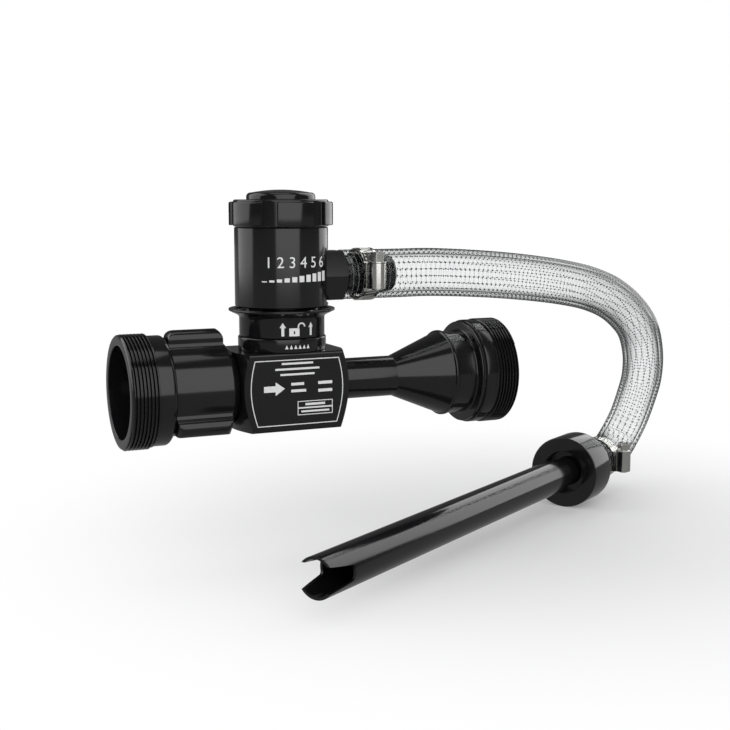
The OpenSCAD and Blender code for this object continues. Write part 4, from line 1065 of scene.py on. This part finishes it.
# Floor and light
# A plain white sweep under the wand, three tall softboxes ahead, at the left and behind at the right,
# and a small one above. The room between them is dark, so gloss black shows grey panels with black gaps.
FLOOR_SIDE = 6.0
FLOOR_GAP = 0.0001
FLOOR_MIRRORED = 0.3
ROOM_DIFFUSE = 0.4
ROOM_GLOSSY = 0.1
PATCH = (0.05, 0.05, 0.0)
PATCH_FROM = 0.1
PATCH_TO = 0.45
PATCH_WHITE = 0.15
LIGHT_TARGET = Vector((-165, 0, 60)) * MM
LIGHT_DISTANCE = 1.6

floor_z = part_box("wand_fitting")[0].z - FLOOR_GAP
floor_corners = [(x * FLOOR_SIDE, y * FLOOR_SIDE, floor_z) for x, y in ((-1, -1), (1, -1), (1, 1), (-1, 1))]
floor_mesh = bpy.data.meshes.new("floor")
floor_mesh.from_pydata(floor_corners, [], [(0, 1, 2, 3)])
floor = bpy.data.objects.new("floor", floor_mesh)
scene.collection.objects.link(floor)

# Matt white paper: it takes a shadow under the wand and is burnt out to plain white further away.
white_sweep = new_material("white_sweep")
tree = white_sweep.node_tree
path = add_node(tree, "ShaderNodeLightPath")
spot = add_node(tree, "ShaderNodeTexCoord").outputs["Object"]
away = add_node(tree, "ShaderNodeVectorMath", {0: spot, 1: PATCH}, operation="DISTANCE")
fade = add_node(tree, "ShaderNodeMapRange",
                {0: away.outputs["Value"], 1: PATCH_FROM, 2: PATCH_TO, 3: PATCH_WHITE, 4: 1.0},
                interpolation_type="SMOOTHSTEP")
seen = add_node(tree, "ShaderNodeMath", operation="MAXIMUM", inputs={
    0: path.outputs["Is Camera Ray"], 1: path.outputs["Is Transmission Ray"]})
share = add_node(tree, "ShaderNodeMath", {0: seen.outputs[0], 1: fade.outputs[0]}, operation="MULTIPLY")
paper = add_node(tree, "ShaderNodeBsdfDiffuse", {"Color": srgb("#d0d0d1")})
white = add_node(tree, "ShaderNodeEmission", {"Strength": 1.0})
dim = add_node(tree, "ShaderNodeEmission", {"Strength": FLOOR_MIRRORED})
swept = add_node(tree, "ShaderNodeMixShader", {0: share.outputs[0], 1: paper.outputs[0], 2: white.outputs[0]})
mirrored = add_node(tree, "ShaderNodeMixShader", {
    0: path.outputs["Is Glossy Ray"], 1: swept.outputs[0], 2: dim.outputs[0]})
add_node(tree, "ShaderNodeOutputMaterial", {"Surface": mirrored.outputs[0]})
floor_mesh.materials.append(white_sweep)


def softbox(name, azimuth, elevation, width, height, radiance):
    """A rectangular lamp at an azimuth from the view's own direction, facing the object.
    Its power is pi * area * radiance, so that its face shows at that radiance in a mirror."""
    turn = math.radians(270 - VIEW_YAW + azimuth)
    rise = math.radians(elevation)
    towards = Vector((math.cos(turn) * math.cos(rise), math.sin(turn) * math.cos(rise), math.sin(rise)))
    lamp = bpy.data.lights.new(name, "AREA")
    lamp.shape = "RECTANGLE"
    lamp.size = width
    lamp.size_y = height
    lamp.energy = math.pi * width * height * radiance
    holder = bpy.data.objects.new(name, lamp)
    holder.location = LIGHT_TARGET + towards * LIGHT_DISTANCE
    holder.rotation_euler = towards.to_track_quat("Z", "Y").to_euler()
    scene.collection.objects.link(holder)


softbox("front_softbox", azimuth=20, elevation=27, width=2.0, height=1.9, radiance=1.6)
softbox("left_softbox", azimuth=-97, elevation=27, width=1.9, height=1.9, radiance=1.6)
softbox("right_softbox", azimuth=133, elevation=27, width=1.5, height=1.9, radiance=1.9)
softbox("top_softbox", azimuth=0, elevation=88, width=1.0, height=0.8, radiance=1.2)

world = bpy.data.worlds.new("studio")
scene.world = world
world.use_nodes = True
tree = world.node_tree
tree.nodes.clear()
path = add_node(tree, "ShaderNodeLightPath")
seen = add_node(tree, "ShaderNodeMath", operation="MAXIMUM", inputs={
    0: path.outputs["Is Camera Ray"], 1: path.outputs["Is Transmission Ray"]})
room = add_node(tree, "ShaderNodeMix", {0: path.outputs["Is Glossy Ray"], 2: ROOM_DIFFUSE, 3: ROOM_GLOSSY})
strength = add_node(tree, "ShaderNodeMix", {0: seen.outputs[0], 2: room.outputs[0], 3: 1.0})
sky = add_node(tree, "ShaderNodeBackground", {"Color": (1, 1, 1, 1), "Strength": strength.outputs[0]})
add_node(tree, "ShaderNodeOutputWorld", {"Surface": sky.outputs[0]})
